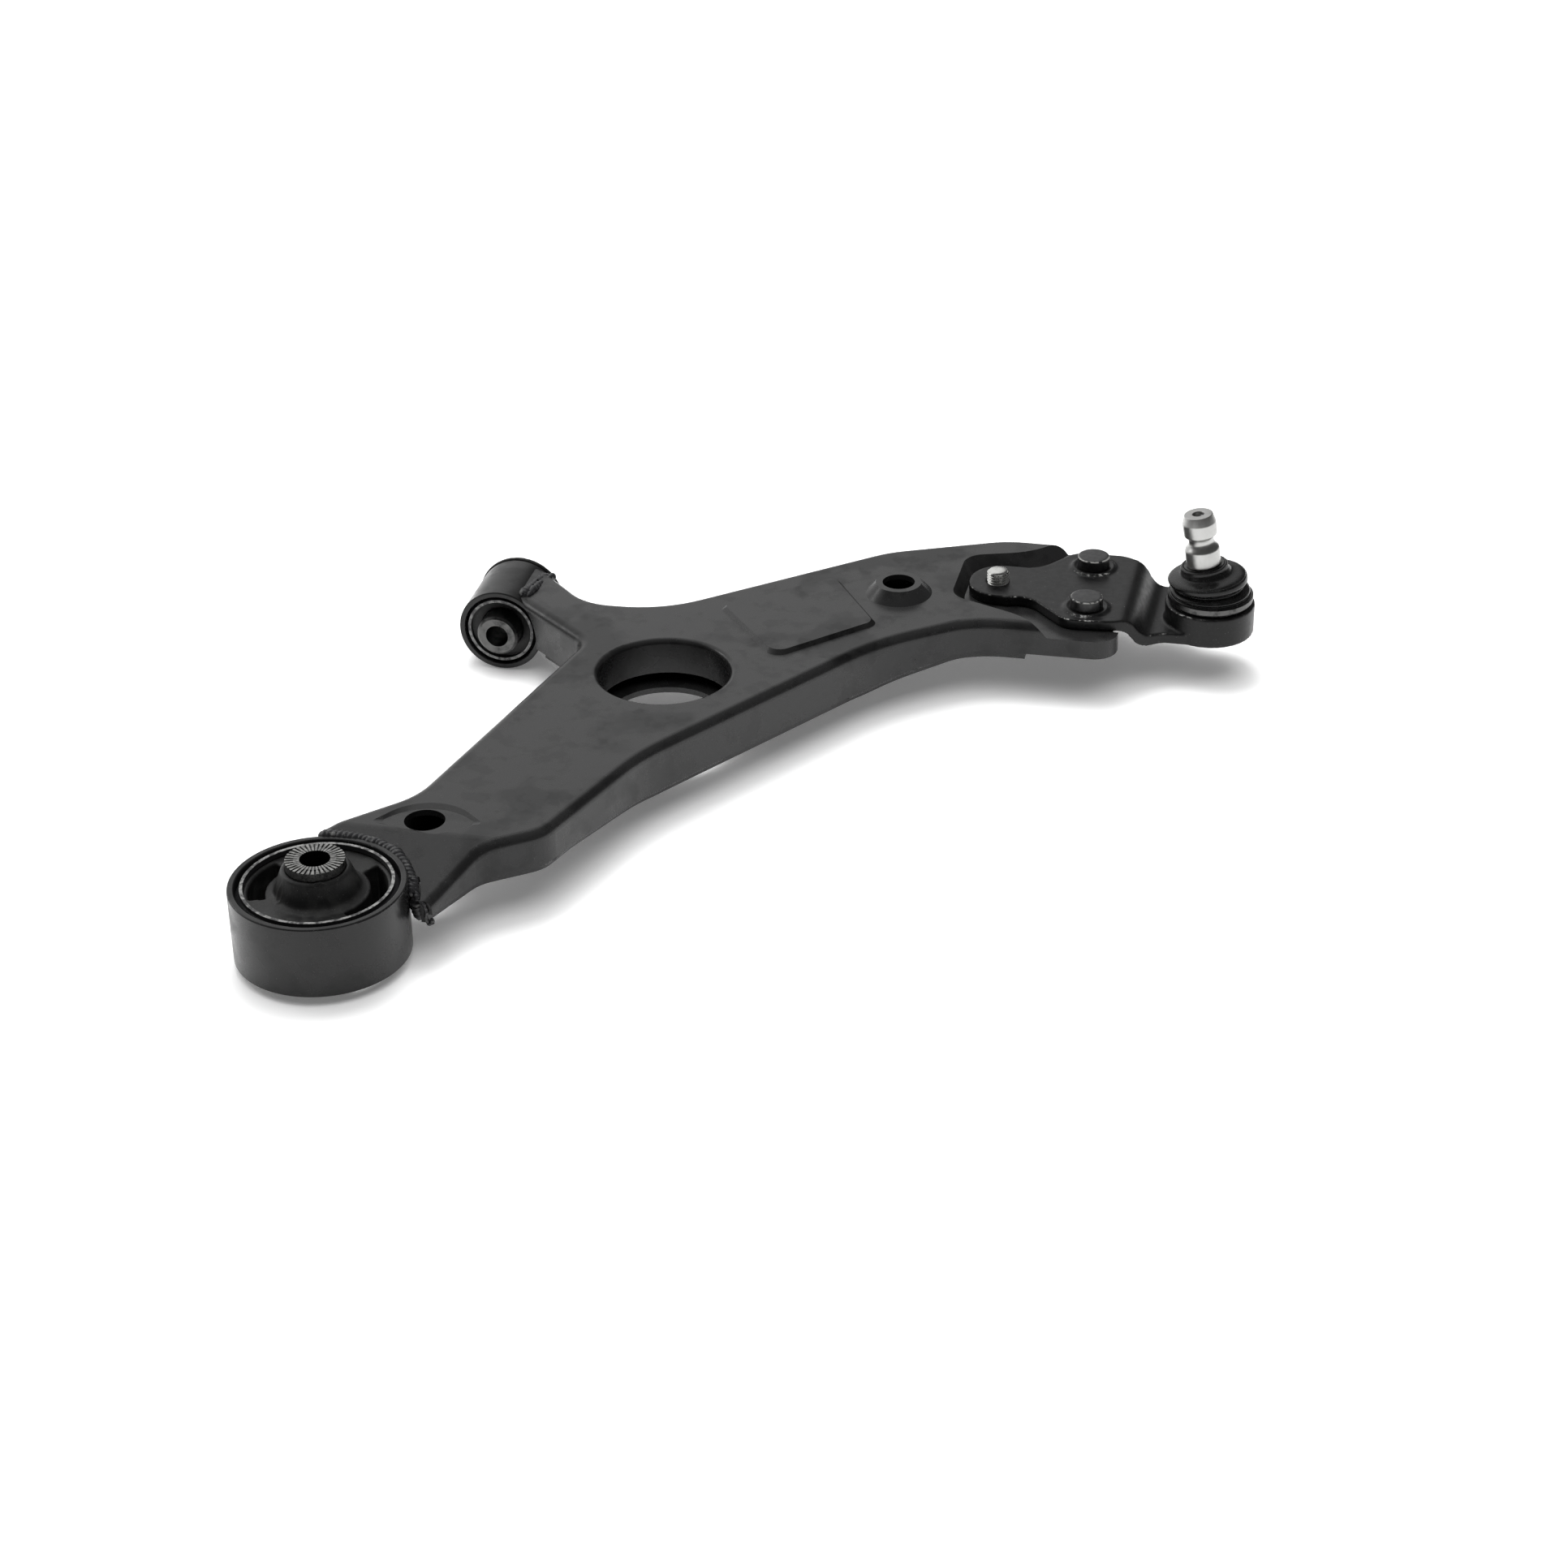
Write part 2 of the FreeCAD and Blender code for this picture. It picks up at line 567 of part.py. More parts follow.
def make_seat():
    outer = BALL_R + LINER + SEAT - 0.02
    inner = BALL_R + LINER
    solid = Part.makeSphere(outer).common(cylinder(outer + 1, 0, SEAT_TOP))
    skirt = cylinder(outer, -5.0, 0)
    solid = solid.fuse(skirt).cut(Part.makeSphere(inner))
    solid.translate(V(JOINT_X, JOINT_Y, BALL_Z))
    return solid


def make_cover():
    """Closing disc pressed into the underside of the housing."""
    cavity = BALL_R + LINER + SEAT
    z = HOUSING_BOTTOM
    profile = [(0, z - 4.8), (8.5, z - 4.4), (13.0, z - 0.5), (cavity + 2.15, z),
               (cavity + 2.15, z + 2.0), (12.2, z + 2.0), (8.0, z - 1.9), (0, z - 3.2)]
    return revolve(profile, JOINT_X, JOINT_Y)


def make_preload_ring():
    """Rubber ring that presses the seat up on to the ball."""
    z = HOUSING_BOTTOM + 2.05
    return tube(BALL_R + LINER + SEAT - 0.1, 12.6, z, z + 1.8, JOINT_X, JOINT_Y)


def boot_ring(height, radius):
    """One level circle of the boot, leaning more the higher it stands."""
    share = min(max((height - BOOT_LEAN_FROM) / (BOOT_LEAN_TO - BOOT_LEAN_FROM), 0.0), 1.0)
    angle = STUD_LEAN_DEG * share
    circle = Part.Wire(Part.makeCircle(radius, V(0, 0, height), Z_AXIS))
    circle.rotate(V(0, 0, 0), Y_AXIS, angle)
    circle.translate(V(JOINT_X, JOINT_Y, BALL_Z))
    return circle


def make_dust_boot():
    """Gaiter: heights are measured from the ball's centre."""
    outside = [(8.0, 21.4), (12.2, 21.2), (12.8, 20.0), (14.4, 20.8), (15.6, 19.6),
               (16.5, 17.8), (17.8, 18.4), (19.6, 20.3), (21.6, 20.4), (22.8, 18.8),
               (24.0, 13.6), (25.6, 12.6), (28.4, 12.2)]
    inside = [(7.9, 20.1), (10.8, 20.1), (12.2, 19.6), (14.4, 18.8), (16.5, 15.8),
              (19.6, 18.4), (21.0, 17.6), (22.4, 12.2), (24.0, 11.3), (26.2, 10.6),
              (28.5, 10.55)]
    outer = Part.makeLoft([boot_ring(h, r) for h, r in outside], True, True)
    inner = Part.makeLoft([boot_ring(h, r) for h, r in inside], True, True)
    return outer.cut(inner)


def make_boot_lower_ring():
    return tube(22.2, 21.42, BALL_Z + 9.5, BALL_Z + 12.1, JOINT_X, JOINT_Y)


def make_boot_upper_ring():
    """Steel ring bonded in the boot's upper lip, close round the stud."""
    return lean(tube(10.5, STUD_LAND_R + 0.06, 26.6, 28.8))


def bead(points, radius):
    """Weld bead: a round rod along a smooth path."""
    path = Part.BSplineCurve()
    path.interpolate(points)
    spine = Part.Wire(path.toShape())
    start = spine.Edges[0].tangentAt(spine.Edges[0].FirstParameter)
    section = Part.Wire(Part.makeCircle(radius, points[0], start))
    return spine.makePipeShell([section], True, False)


def make_rear_weld():
    """Fillet round the ring where the upper half meets it."""
    points = []
    for degrees in range(12, 111, 14):
        a = math.radians(degrees)
        r = REAR_R + 1.2
        y = r * math.sin(a)
        fall = (RAMP_START_Y - y) * math.tan(math.radians(RAMP_SLOPE_DEG))
        points.append(V(r * math.cos(a), y, min(ARM_TOP_Z - fall, 16.2)))
    return bead(points, 2.6)


def make_front_weld():
    points = [V(12.5, 288.0, 19.6), (V(13.0, 300.0, 19.4)), V(14.5, 312.0, 18.2),
              V(17.5, 322.5, 15.8)]
    return bead(points, 2.8)


def make_seam_weld():
    """Runs of weld along the lap of the two halves, on both long sides."""
    near = prism(ARM_OUTLINE, -60, 60, SHEET - 1.6).cut(prism(ARM_OUTLINE, -60, 60, SHEET))
    band = belly(LAP).cut(belly(LAP - 1.6))
    runs = near.common(band)
    boxes = [Part.makeBox(110, 110, 60, V(80, 60, -40)),
             Part.makeBox(110, 110, 60, V(130, 185, -40)),
             Part.makeBox(130, 60, 60, V(110, 320, -40))]
    kept = []
    for box in boxes:
        piece = runs.common(box)
        kept.extend(piece.Solids)
    return kept


PARTS = {
    "top_shell": make_top_shell,
    "bottom_shell": make_bottom_shell,
    "seam_weld": make_seam_weld,
    "rear_bush_housing": make_rear_housing,
    "rear_housing_weld": make_rear_weld,
    "rear_bush_can": make_rear_can,
    "rear_bush_rubber": make_rear_rubber,
    "rear_bush_tube": make_rear_tube,
    "front_bush_housing": make_front_housing,
    "front_housing_weld": make_front_weld,
    "front_bush_can": make_front_can,
    "front_bush_rubber": make_front_rubber,
    "front_bush_tube": make_front_tube,
    "ball_joint_plate": make_joint_plate,
    "plate_rivets": make_rivets,
    "plate_bolt": make_plate_bolt,
    "ball_seat": make_seat,
    "ball_liner": make_liner,
    "ball_joint_cover": make_cover,
    "seat_preload_ring": make_preload_ring,
    "ball_stud": make_ball_stud,
    "dust_boot": make_dust_boot,
    "boot_lower_ring": make_boot_lower_ring,
    "boot_upper_ring": make_boot_upper_ring,
}

os.makedirs("parts", exist_ok=True)
for name, make in PARTS.items():
    made = make()
    solids = made if isinstance(made, list) else made.Solids
    shape = solids[0] if len(solids) == 1 else Part.makeCompound(solids)
    shape.exportStep("parts/" + name + ".step")
    print(name, len(solids), round(shape.Volume), shape.isValid())
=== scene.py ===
import math

import bpy
import numpy as np
from mathutils import Matrix, Vector


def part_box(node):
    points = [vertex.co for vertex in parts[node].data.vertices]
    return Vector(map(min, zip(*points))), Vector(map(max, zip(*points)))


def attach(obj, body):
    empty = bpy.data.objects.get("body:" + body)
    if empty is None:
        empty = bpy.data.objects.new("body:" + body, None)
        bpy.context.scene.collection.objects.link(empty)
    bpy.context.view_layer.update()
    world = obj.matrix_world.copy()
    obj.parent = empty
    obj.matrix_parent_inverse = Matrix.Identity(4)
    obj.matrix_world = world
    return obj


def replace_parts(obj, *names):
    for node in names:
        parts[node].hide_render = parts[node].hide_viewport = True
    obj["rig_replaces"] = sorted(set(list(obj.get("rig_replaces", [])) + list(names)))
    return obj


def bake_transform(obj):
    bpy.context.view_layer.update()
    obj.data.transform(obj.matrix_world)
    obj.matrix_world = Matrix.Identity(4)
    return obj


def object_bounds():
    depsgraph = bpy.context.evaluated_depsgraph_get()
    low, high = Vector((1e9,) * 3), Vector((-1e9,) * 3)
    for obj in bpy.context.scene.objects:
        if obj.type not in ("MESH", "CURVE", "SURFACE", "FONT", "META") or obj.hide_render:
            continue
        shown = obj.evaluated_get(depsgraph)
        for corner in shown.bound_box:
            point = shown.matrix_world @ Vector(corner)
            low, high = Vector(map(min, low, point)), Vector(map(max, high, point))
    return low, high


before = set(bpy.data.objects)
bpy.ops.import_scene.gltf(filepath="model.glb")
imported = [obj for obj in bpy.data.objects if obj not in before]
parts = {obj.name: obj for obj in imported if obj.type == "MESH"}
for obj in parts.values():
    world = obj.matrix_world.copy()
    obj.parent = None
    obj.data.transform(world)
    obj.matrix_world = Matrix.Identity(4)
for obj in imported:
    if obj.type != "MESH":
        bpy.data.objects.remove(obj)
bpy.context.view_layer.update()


# ---- pressed arm halves ----
# Two 3 mm steel pressings, the lower tucked inside the upper's skirt, dipped
# in thin satin black after welding. The coat is smudged by handling.

def new_finish(name, colour, roughness, metallic=0.0, specular=0.5):
    """Empty finish: one Principled shader, and the Object coordinates its patterns read."""
    finish = bpy.data.materials.new(name)
    finish.use_nodes = True
    tree = finish.node_tree
    shader = tree.nodes["Principled BSDF"]
    shader.inputs["Base Color"].default_value = (*colour, 1.0)
    shader.inputs["Roughness"].default_value = roughness
    shader.inputs["Metallic"].default_value = metallic
    shader.inputs["Specular IOR Level"].default_value = specular
    place = tree.nodes.new("ShaderNodeTexCoord")
    return finish, tree, shader, place


def grain(tree, place, scale, detail=4.0, stretch=(1, 1, 1), uneven=0.5):
    """Cloudy noise with that many waves a metre, stretched along the axes."""
    mapping = tree.nodes.new("ShaderNodeMapping")
    mapping.inputs["Scale"].default_value = stretch
    tree.links.new(place, mapping.inputs["Vector"])
    noise = tree.nodes.new("ShaderNodeTexNoise")
    noise.inputs["Scale"].default_value = scale
    noise.inputs["Detail"].default_value = detail
    noise.inputs["Roughness"].default_value = uneven
    tree.links.new(mapping.outputs["Vector"], noise.inputs["Vector"])
    return noise.outputs["Fac"]


def spread(tree, value, low, high, out_low=0.0, out_high=1.0):
    """Value stretched smoothly from low..high to out_low..out_high, and held there beyond."""
    node = tree.nodes.new("ShaderNodeMapRange")
    node.interpolation_type = "SMOOTHSTEP"
    for socket, number in zip(("From Min", "From Max", "To Min", "To Max"),
                              (low, high, out_low, out_high)):
        node.inputs[socket].default_value = number
    tree.links.new(value, node.inputs["Value"])
    return node.outputs["Result"]


def maths(tree, kind, first, second):
    """One Math node of that kind, on two sockets or numbers."""
    node = tree.nodes.new("ShaderNodeMath")
    node.operation = kind
    for socket, value in zip(node.inputs, (first, second)):
        if isinstance(value, (int, float)):
            socket.default_value = value
        else:
            tree.links.new(value, socket)
    return node.outputs[0]


def split_axes(tree, source):
    """X, Y and Z of a coordinate or a normal, as three sockets."""
    node = tree.nodes.new("ShaderNodeSeparateXYZ")
    tree.links.new(source, node.inputs["Vector"])
    return node.outputs


def tint(tree, amount, first, second):
    """Colour between first and second, each a colour or a socket."""
    node = tree.nodes.new("ShaderNodeMix")
    node.data_type = "RGBA"
    tree.links.new(amount, node.inputs["Factor"])
    for socket, value in zip((node.inputs[6], node.inputs[7]), (first, second)):
        if isinstance(value, tuple):
            socket.default_value = (*value, 1.0)
        else:
            tree.links.new(value, socket)
    return node.outputs[2]


def relief(tree, shader, height, depth, below=None):
    """Bump of that depth in metres, on top of the bump below it."""
    node = tree.nodes.new("ShaderNodeBump")
    node.inputs["Distance"].default_value = depth
    node.inputs["Strength"].default_value = 1.0
    tree.links.new(height, node.inputs["Height"])
    if below is not None:
        tree.links.new(below, node.inputs["Normal"])
    tree.links.new(node.outputs["Normal"], shader.inputs["Normal"])
    return node.outputs["Normal"]


def dip_coat(name, dark, pale, rough_low, rough_high, wave_depth):
    """Satin black dip: broad smudges and finer blotches in colour and gloss, over
    slow waves in the sheet, fine orange peel and a few dust nibs."""
    finish, tree, shader, place = new_finish(name, dark, rough_low, 0.0, 0.32)
    where = place.outputs["Object"]
    smudge = spread(tree, grain(tree, where, 24.0, 4.0), 0.40, 0.52)
    blotch = spread(tree, grain(tree, where, 80.0, 5.0, uneven=0.6), 0.38, 0.50)
    dust = spread(tree, grain(tree, where, 1500.0, 2.0), 0.70, 0.78)
    mixed = maths(tree, "ADD", maths(tree, "MULTIPLY", smudge, 0.6),
                   maths(tree, "MULTIPLY", blotch, 0.4))
    colour = tint(tree, mixed, dark, pale)
    colour = tint(tree, maths(tree, "MULTIPLY", dust, 0.35), colour, (0.16, 0.16, 0.16))
    tree.links.new(colour, shader.inputs["Base Color"])
    gloss = spread(tree, mixed, 0.1, 0.9, rough_high, rough_low)
    tree.links.new(gloss, shader.inputs["Roughness"])
    waves = relief(tree, shader, grain(tree, where, 38.0, 2.0), wave_depth)
    peel = relief(tree, shader, grain(tree, where, 900.0, 3.0), 0.000008, waves)
    relief(tree, shader, dust, 0.00004, peel)
    return finish


def dress(node, finish):
    """Give a carried-over part its finish in every material slot."""
    mesh = parts[node].data
    mesh.materials.clear()
    mesh.materials.append(finish)


arm_coat = dip_coat("arm_coat", (0.003, 0.003, 0.0031), (0.014, 0.014, 0.0141),
                    0.27, 0.36, 0.00010)
for half in ("top_shell", "bottom_shell"):
    dress(half, arm_coat)


# ---- seam welds ----
# Short runs of arc weld that close the lap between the two halves, laid from
# outside along both long edges, with small drops of spatter beside them.

ARM_HEADING = math.radians(48.7)
SEAM_STEP = 0.003
SEAM_R = 0.0013
SEAM_PITCH = 0.0017
DROP_R = 0.00042
DROPS_A_RUN = 70
DROP_ASIDE = 0.0013         # from the run's middle line
DROP_LIFT = 0.0070          # highest that one sits above it


def skin(name, grid, finish, wrap_rows=False):
    """Closed mesh on a grid of points (rows, around, xyz). Columns join round; rows
    either join round too, or end in a pole at the mean of the end row. Its UV map
    holds the share round, and the metres along the rows."""
    rows, around = grid.shape[:2]
    index = np.arange(rows * around).reshape(rows, around)
    lengths = np.linalg.norm(np.diff(grid[:, 0], axis=0), axis=1)
    along = np.concatenate([[0.0], np.cumsum(lengths)])
    points = grid.reshape(-1, 3)
    low = index if wrap_rows else index[:-1]
    high = np.roll(index, -1, axis=0) if wrap_rows else index[1:]
    quads = np.stack([low, np.roll(low, -1, 1), np.roll(high, -1, 1), high], -1)
    share = np.broadcast_to(np.arange(around) / around, low.shape)
    step = 1.0 / around
    v_low = np.broadcast_to(along[:len(low), None], low.shape)
    v_high = np.roll(along, -1)[:len(low), None] * np.ones_like(share)
    uv = np.stack([np.stack([share, share + step, share + step, share], -1),
                   np.stack([v_low, v_low, v_high, v_high], -1)], -1)
    faces = quads.reshape(-1, 4)
    corner_uv = uv.reshape(-1, 4, 2)
    face_list = faces.tolist()
    uv_list = [corner_uv.reshape(-1, 2)]
    if not wrap_rows:
        poles = np.stack([grid[0].mean(0), grid[-1].mean(0)])
        first, last = len(points), len(points) + 1
        points = np.vstack([points, poles])
        start, end = index[0], index[-1]
        fan0 = np.stack([np.full(around, first), np.roll(start, -1), start], -1)
        fan1 = np.stack([np.full(around, last), end, np.roll(end, -1)], -1)
        face_list += fan0.tolist() + fan1.tolist()
        for height in (along[0], along[-1]):
            centre = np.stack([share[0] + step / 2, np.full(around, height)], -1)
            ahead = np.stack([share[0] + step, np.full(around, height)], -1)
            here = np.stack([share[0], np.full(around, height)], -1)
            uv_list.append(np.stack([centre, ahead, here], 1).reshape(-1, 2))
    mesh = bpy.data.meshes.new(name)
    mesh.from_pydata(points.tolist(), [], face_list)
    layer = mesh.uv_layers.new(name="UVMap")
    layer.data.foreach_set("uv", np.vstack(uv_list).astype(np.float32).ravel())
    mesh.polygons.foreach_set("use_smooth", np.ones(len(face_list), bool))
    mesh.update()
    return place_piece(name, mesh, finish)


def mesh_points(mesh):
    """A mesh's points as rows, in metres."""
    points = np.zeros(len(mesh.vertices) * 3)
    mesh.vertices.foreach_get("co", points)
    return points.reshape(-1, 3)


def place_piece(name, mesh, finish):
    """Object at the origin for a finished closed mesh, its faces turned outwards."""
    mesh.calc_loop_triangles()
    corners = np.zeros(len(mesh.loop_triangles) * 3, np.int32)
    mesh.loop_triangles.foreach_get("vertices", corners)
    a, b, c = mesh_points(mesh)[corners.reshape(-1, 3)].transpose(1, 0, 2)
    if np.einsum("ij,ij->i", a, np.cross(b, c)).sum() < 0:
        mesh.flip_normals()
    piece = bpy.data.objects.new(name, mesh)
    bpy.context.scene.collection.objects.link(piece)
    mesh.materials.append(finish)
    return piece


def node_points(node):
    """A carried-over part's points as rows."""
    return mesh_points(parts[node].data)


def weld_grid(path, radius, pitch, waver, rng):
    """Rippled bead: a round section carried along the path, its radius swelling once
    a pitch in crescents that trail at the sides, wavering slowly, and closing to a
    rounded nose at each end."""
    gaps = np.linalg.norm(np.diff(path, axis=0), axis=1)
    travel = np.concatenate([[0.0], np.cumsum(gaps)])
    length = travel[-1]
    fine = np.linspace(0.0, length, int(length / pitch * 7) + 12)
    line = np.stack([np.interp(fine, travel, path[:, k]) for k in range(3)], -1)
    tangent = np.gradient(line, axis=0)
    tangent /= np.linalg.norm(tangent, axis=1)[:, None]
    side = np.cross(tangent, [0.0, 0.0, 1.0])
    side /= np.linalg.norm(side, axis=1)[:, None]
    up = np.cross(side, tangent)
    turn = np.linspace(0, 2 * math.pi, 18, endpoint=False)
    knots = np.linspace(0.0, length, max(4, int(length / 0.006)))
    slow = np.interp(fine, knots, rng.normal(0.0, waver, len(knots)))
    phase = math.pi * fine[:, None] / pitch + 0.9 * np.cos(turn)[None, :]
    swell = 1.0 + 0.16 * np.abs(np.sin(phase)) + slow[:, None]
    inward = np.minimum(fine, length - fine) / (1.6 * radius)
    nose = np.sqrt(np.clip(1.0 - (1.0 - np.clip(inward, 0.06, 1.0)) ** 2, 0.0, 1.0))
    reach = radius * swell * nose[:, None]
    return (line[:, None] + reach[..., None] * (np.cos(turn)[None, :, None] * side[:, None]
            + np.sin(turn)[None, :, None] * up[:, None]))


def middle_line(points, travel, step):
    """Mean of the points in each step of their travel, in order: a weld's middle line."""
    slot = ((travel - travel.min()) / step).astype(int)
    count = np.bincount(slot)
    filled = count > 0
    middle = [np.bincount(slot, points[:, k])[filled] / count[filled] for k in range(3)]
    return np.stack(middle, -1)


def weld_finish(name):
    """Coated weld: dark, with paler patches here and there, and a burnt, rougher skin."""
    finish, tree, shader, place = new_finish(name, (0.014, 0.014, 0.015), 0.36, 0.0, 0.5)
    where = place.outputs["Object"]
    crust = grain(tree, where, 520.0, 6.0, uneven=0.7)
    bare = spread(tree, grain(tree, where, 260.0, 4.0), 0.6, 0.72)
    colour = tint(tree, bare, (0.013, 0.013, 0.014), (0.07, 0.07, 0.068))
    tree.links.new(colour, shader.inputs["Base Color"])
    tree.links.new(spread(tree, crust, 0.3, 0.7, 0.24, 0.5), shader.inputs["Roughness"])
    relief(tree, shader, crust, 0.00018)
    return finish


def droplets(name, centres, sizes, finish):
    """Spatter: one small faceted ball for each centre, all in one mesh. A ball is
    three rings of six points and two poles, scaled to its own size."""
    tilt = np.radians([45.0, 90.0, 135.0])
    turn = np.radians(np.arange(6) * 60.0)
    rings = np.stack([np.sin(tilt)[:, None] * np.cos(turn), np.sin(tilt)[:, None]
                      * np.sin(turn), np.cos(tilt)[:, None] * np.ones(6)], -1)
    ball = np.vstack([rings.reshape(-1, 3), [[0, 0, 1], [0, 0, -1]]])
    here = np.arange(6)
    after = np.roll(here, -1)
    faces = [np.stack([np.full(6, 18), here, after], -1),
             np.stack([here, here + 6, after], -1), np.stack([after, here + 6, after + 6], -1),
             np.stack([here + 6, here + 12, after + 6], -1),
             np.stack([after + 6, here + 12, after + 12], -1),
             np.stack([np.full(6, 19), after + 12, here + 12], -1)]
    faces = np.vstack(faces)
    points = centres[:, None] + ball[None] * sizes[:, None, None]
    shift = np.arange(len(centres))[:, None, None] * len(ball)
    mesh = bpy.data.meshes.new(name)
    mesh.from_pydata(points.reshape(-1, 3).tolist(), [],
                     (faces[None] + shift).reshape(-1, 3).tolist())
    mesh.polygons.foreach_set("use_smooth", np.ones(len(mesh.polygons), bool))
    return place_piece(name, mesh, finish)


weld_coat = weld_finish("weld_coat")
heading = np.array([math.cos(ARM_HEADING), math.sin(ARM_HEADING), 0.0])
across = np.array([math.sin(ARM_HEADING), -math.cos(ARM_HEADING), 0.0])
seam_points = node_points("seam_weld")
seam_side = seam_points @ across
middle_side = (seam_side.min() + seam_side.max()) / 2
near_points = seam_points[seam_side > middle_side]
far_points = seam_points[seam_side <= middle_side]
near_travel = near_points @ heading
order = np.sort(near_travel)
widest = np.argmax(np.diff(order))
split = (order[widest] + order[widest + 1]) / 2
seam_runs = {"seam_weld_near_inner": near_points[near_travel < split],
             "seam_weld_near_outer": near_points[near_travel >= split],
             "seam_weld_far": far_points}
rng = np.random.default_rng(7)
spatter_at = []
for name, points in seam_runs.items():
    line = middle_line(points, points @ heading, SEAM_STEP)
    bead = skin(name, weld_grid(line, SEAM_R, SEAM_PITCH, 0.10, rng), weld_coat)
    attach(bead, "arm")
    if name == "seam_weld_near_inner":
        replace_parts(bead, "seam_weld")
    beside = 1.0 if name != "seam_weld_far" else -1.0
    pick = rng.integers(0, len(line) - 1, DROPS_A_RUN)
    share = rng.random(DROPS_A_RUN)[:, None]
    spot = line[pick] * (1 - share) + line[pick + 1] * share
    lift = rng.random(DROPS_A_RUN)[:, None] * DROP_LIFT + 0.0005
    spatter_at.append(spot + across * beside * DROP_ASIDE + np.array([0, 0, 1.0]) * lift)
spatter_at = np.vstack(spatter_at)
sizes = DROP_R * (0.45 + rng.random(len(spatter_at)) ** 3)
spatter = droplets("seam_spatter", spatter_at, sizes, weld_coat)
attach(spatter, "arm")


# ---- rear bush ring and its weld ----
# A length of thick tube stands on end in the arm's inboard tip. It is coated with
# the arm, and a bead of arc weld runs round it where the pressing meets it.

REAR_WELD_R = 0.0026
REAR_WELD_PITCH = 0.0026
REAR_WELD_STEP = math.radians(4.0)
RUN_OUT_PITCH = 0.0022

ring_coat = dip_coat("ring_coat", (0.003, 0.003, 0.0031), (0.009, 0.009, 0.0091),
                     0.26, 0.38, 0.00005)
dress("rear_bush_housing", ring_coat)


rear_points = node_points("rear_housing_weld")
rear_angle = np.arctan2(rear_points[:, 1], rear_points[:, 0])
rear_line = middle_line(rear_points, rear_angle, REAR_WELD_STEP)
rear_weld = skin("rear_weld_bead",
                 weld_grid(rear_line, REAR_WELD_R, REAR_WELD_PITCH, 0.10, rng), weld_coat)
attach(rear_weld, "arm")
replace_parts(rear_weld, "rear_housing_weld")

# Run-outs in the corner beside the ring: radius, waver, and the points of each line.
# The fill is a dark bead set back in the gap that the lower half leaves there by stopping short:
# a dark stand-in for the shade in that opening, hiding the floor behind.
corner_lines = {
    "rear_gap_shade_bead": (0.0032, 0.30, [(0.0424, 0.0132, 0.0100), (0.0430, 0.0122, 0.0040),
                                      (0.0432, 0.0124, -0.0010), (0.0430, 0.0130, -0.0050)]),
    "rear_weld_patch": (0.0024, 0.35, [(0.0392, 0.0190, 0.0135), (0.0412, 0.0150, 0.0120),
                                       (0.0430, 0.0110, 0.0105), (0.0446, 0.0074, 0.0086)]),
    "rear_weld_burr": (0.0009, 0.30, [(0.0452, 0.0066, 0.0092), (0.0480, 0.0062, 0.0078),
                                      (0.0490, 0.0060, 0.0040), (0.0486, 0.0062, 0.0005),
                                      (0.0500, 0.0058, -0.0022), (0.0518, 0.0056, -0.0012),
                                      (0.0514, 0.0056, 0.0012)])}
for name, (radius, waver, points) in corner_lines.items():
    points = np.array(points)
    steps = np.linspace(0.0, len(points) - 1.0, 40)
    line = np.stack([np.interp(steps, np.arange(len(points)), points[:, k])
                     for k in range(3)], -1)
    run_out = skin(name, weld_grid(line, radius, RUN_OUT_PITCH, waver, rng), weld_coat)
    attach(run_out, "arm")


# ---- rear bush can ----
# The bush's own thin steel shell, pressed into the ring with its two ends drawn
# in. A pale band painted along its lip is a painted highlight.

def lip_finish(name, edge_low, edge_high, axis_name, middle):
    """Dark steel with a painted highlight: pale where its distance from a plane at middle,
    along one axis, is within edge_low..edge_high, broken up in patches, over fine scratches."""
    finish, tree, shader, place = new_finish(name, (0.02, 0.02, 0.021), 0.38, 0.0, 0.5)
    where = place.outputs["Object"]
    offset = maths(tree, "SUBTRACT", split_axes(tree, where)[axis_name], middle)
    distance = maths(tree, "ABSOLUTE", offset, 0.0)
    # painted highlight: a pale band along the lip
    lip_highlight_band = spread(tree, distance, edge_low, edge_high)
    broken = spread(tree, grain(tree, where, 320.0, 5.0, uneven=0.65), 0.40, 0.60)
    wear_and_highlight = maths(tree, "MULTIPLY", lip_highlight_band, broken)
    colour = tint(tree, wear_and_highlight, (0.016, 0.016, 0.017), (0.20, 0.20, 0.195))
    tree.links.new(colour, shader.inputs["Base Color"])
    scratch = grain(tree, where, 700.0, 3.0, stretch=(1, 1, 0.15))
    tree.links.new(spread(tree, scratch, 0.3, 0.7, 0.26, 0.46), shader.inputs["Roughness"])
    relief(tree, shader, scratch, 0.00003)
    return finish


REAR_LIP = (0.01725, 0.0175)
dress("rear_bush_can", lip_finish("rear_can_lip", *REAR_LIP, "Z", 0.0))


# ---- rear bush rubber ----
# Natural rubber moulded between can and inner tube: a flat web with two kidney
# shaped voids through it, a cone rising to the tube, and two ejector dimples.

DIMPLES = ((-0.013, -0.014), (0.007, -0.015))
DIMPLE_R = 0.0019
DIMPLE_RIM = 0.0006
DIMPLE_DEPTH = 0.0010
TOP_SIDE_Z = 0.005


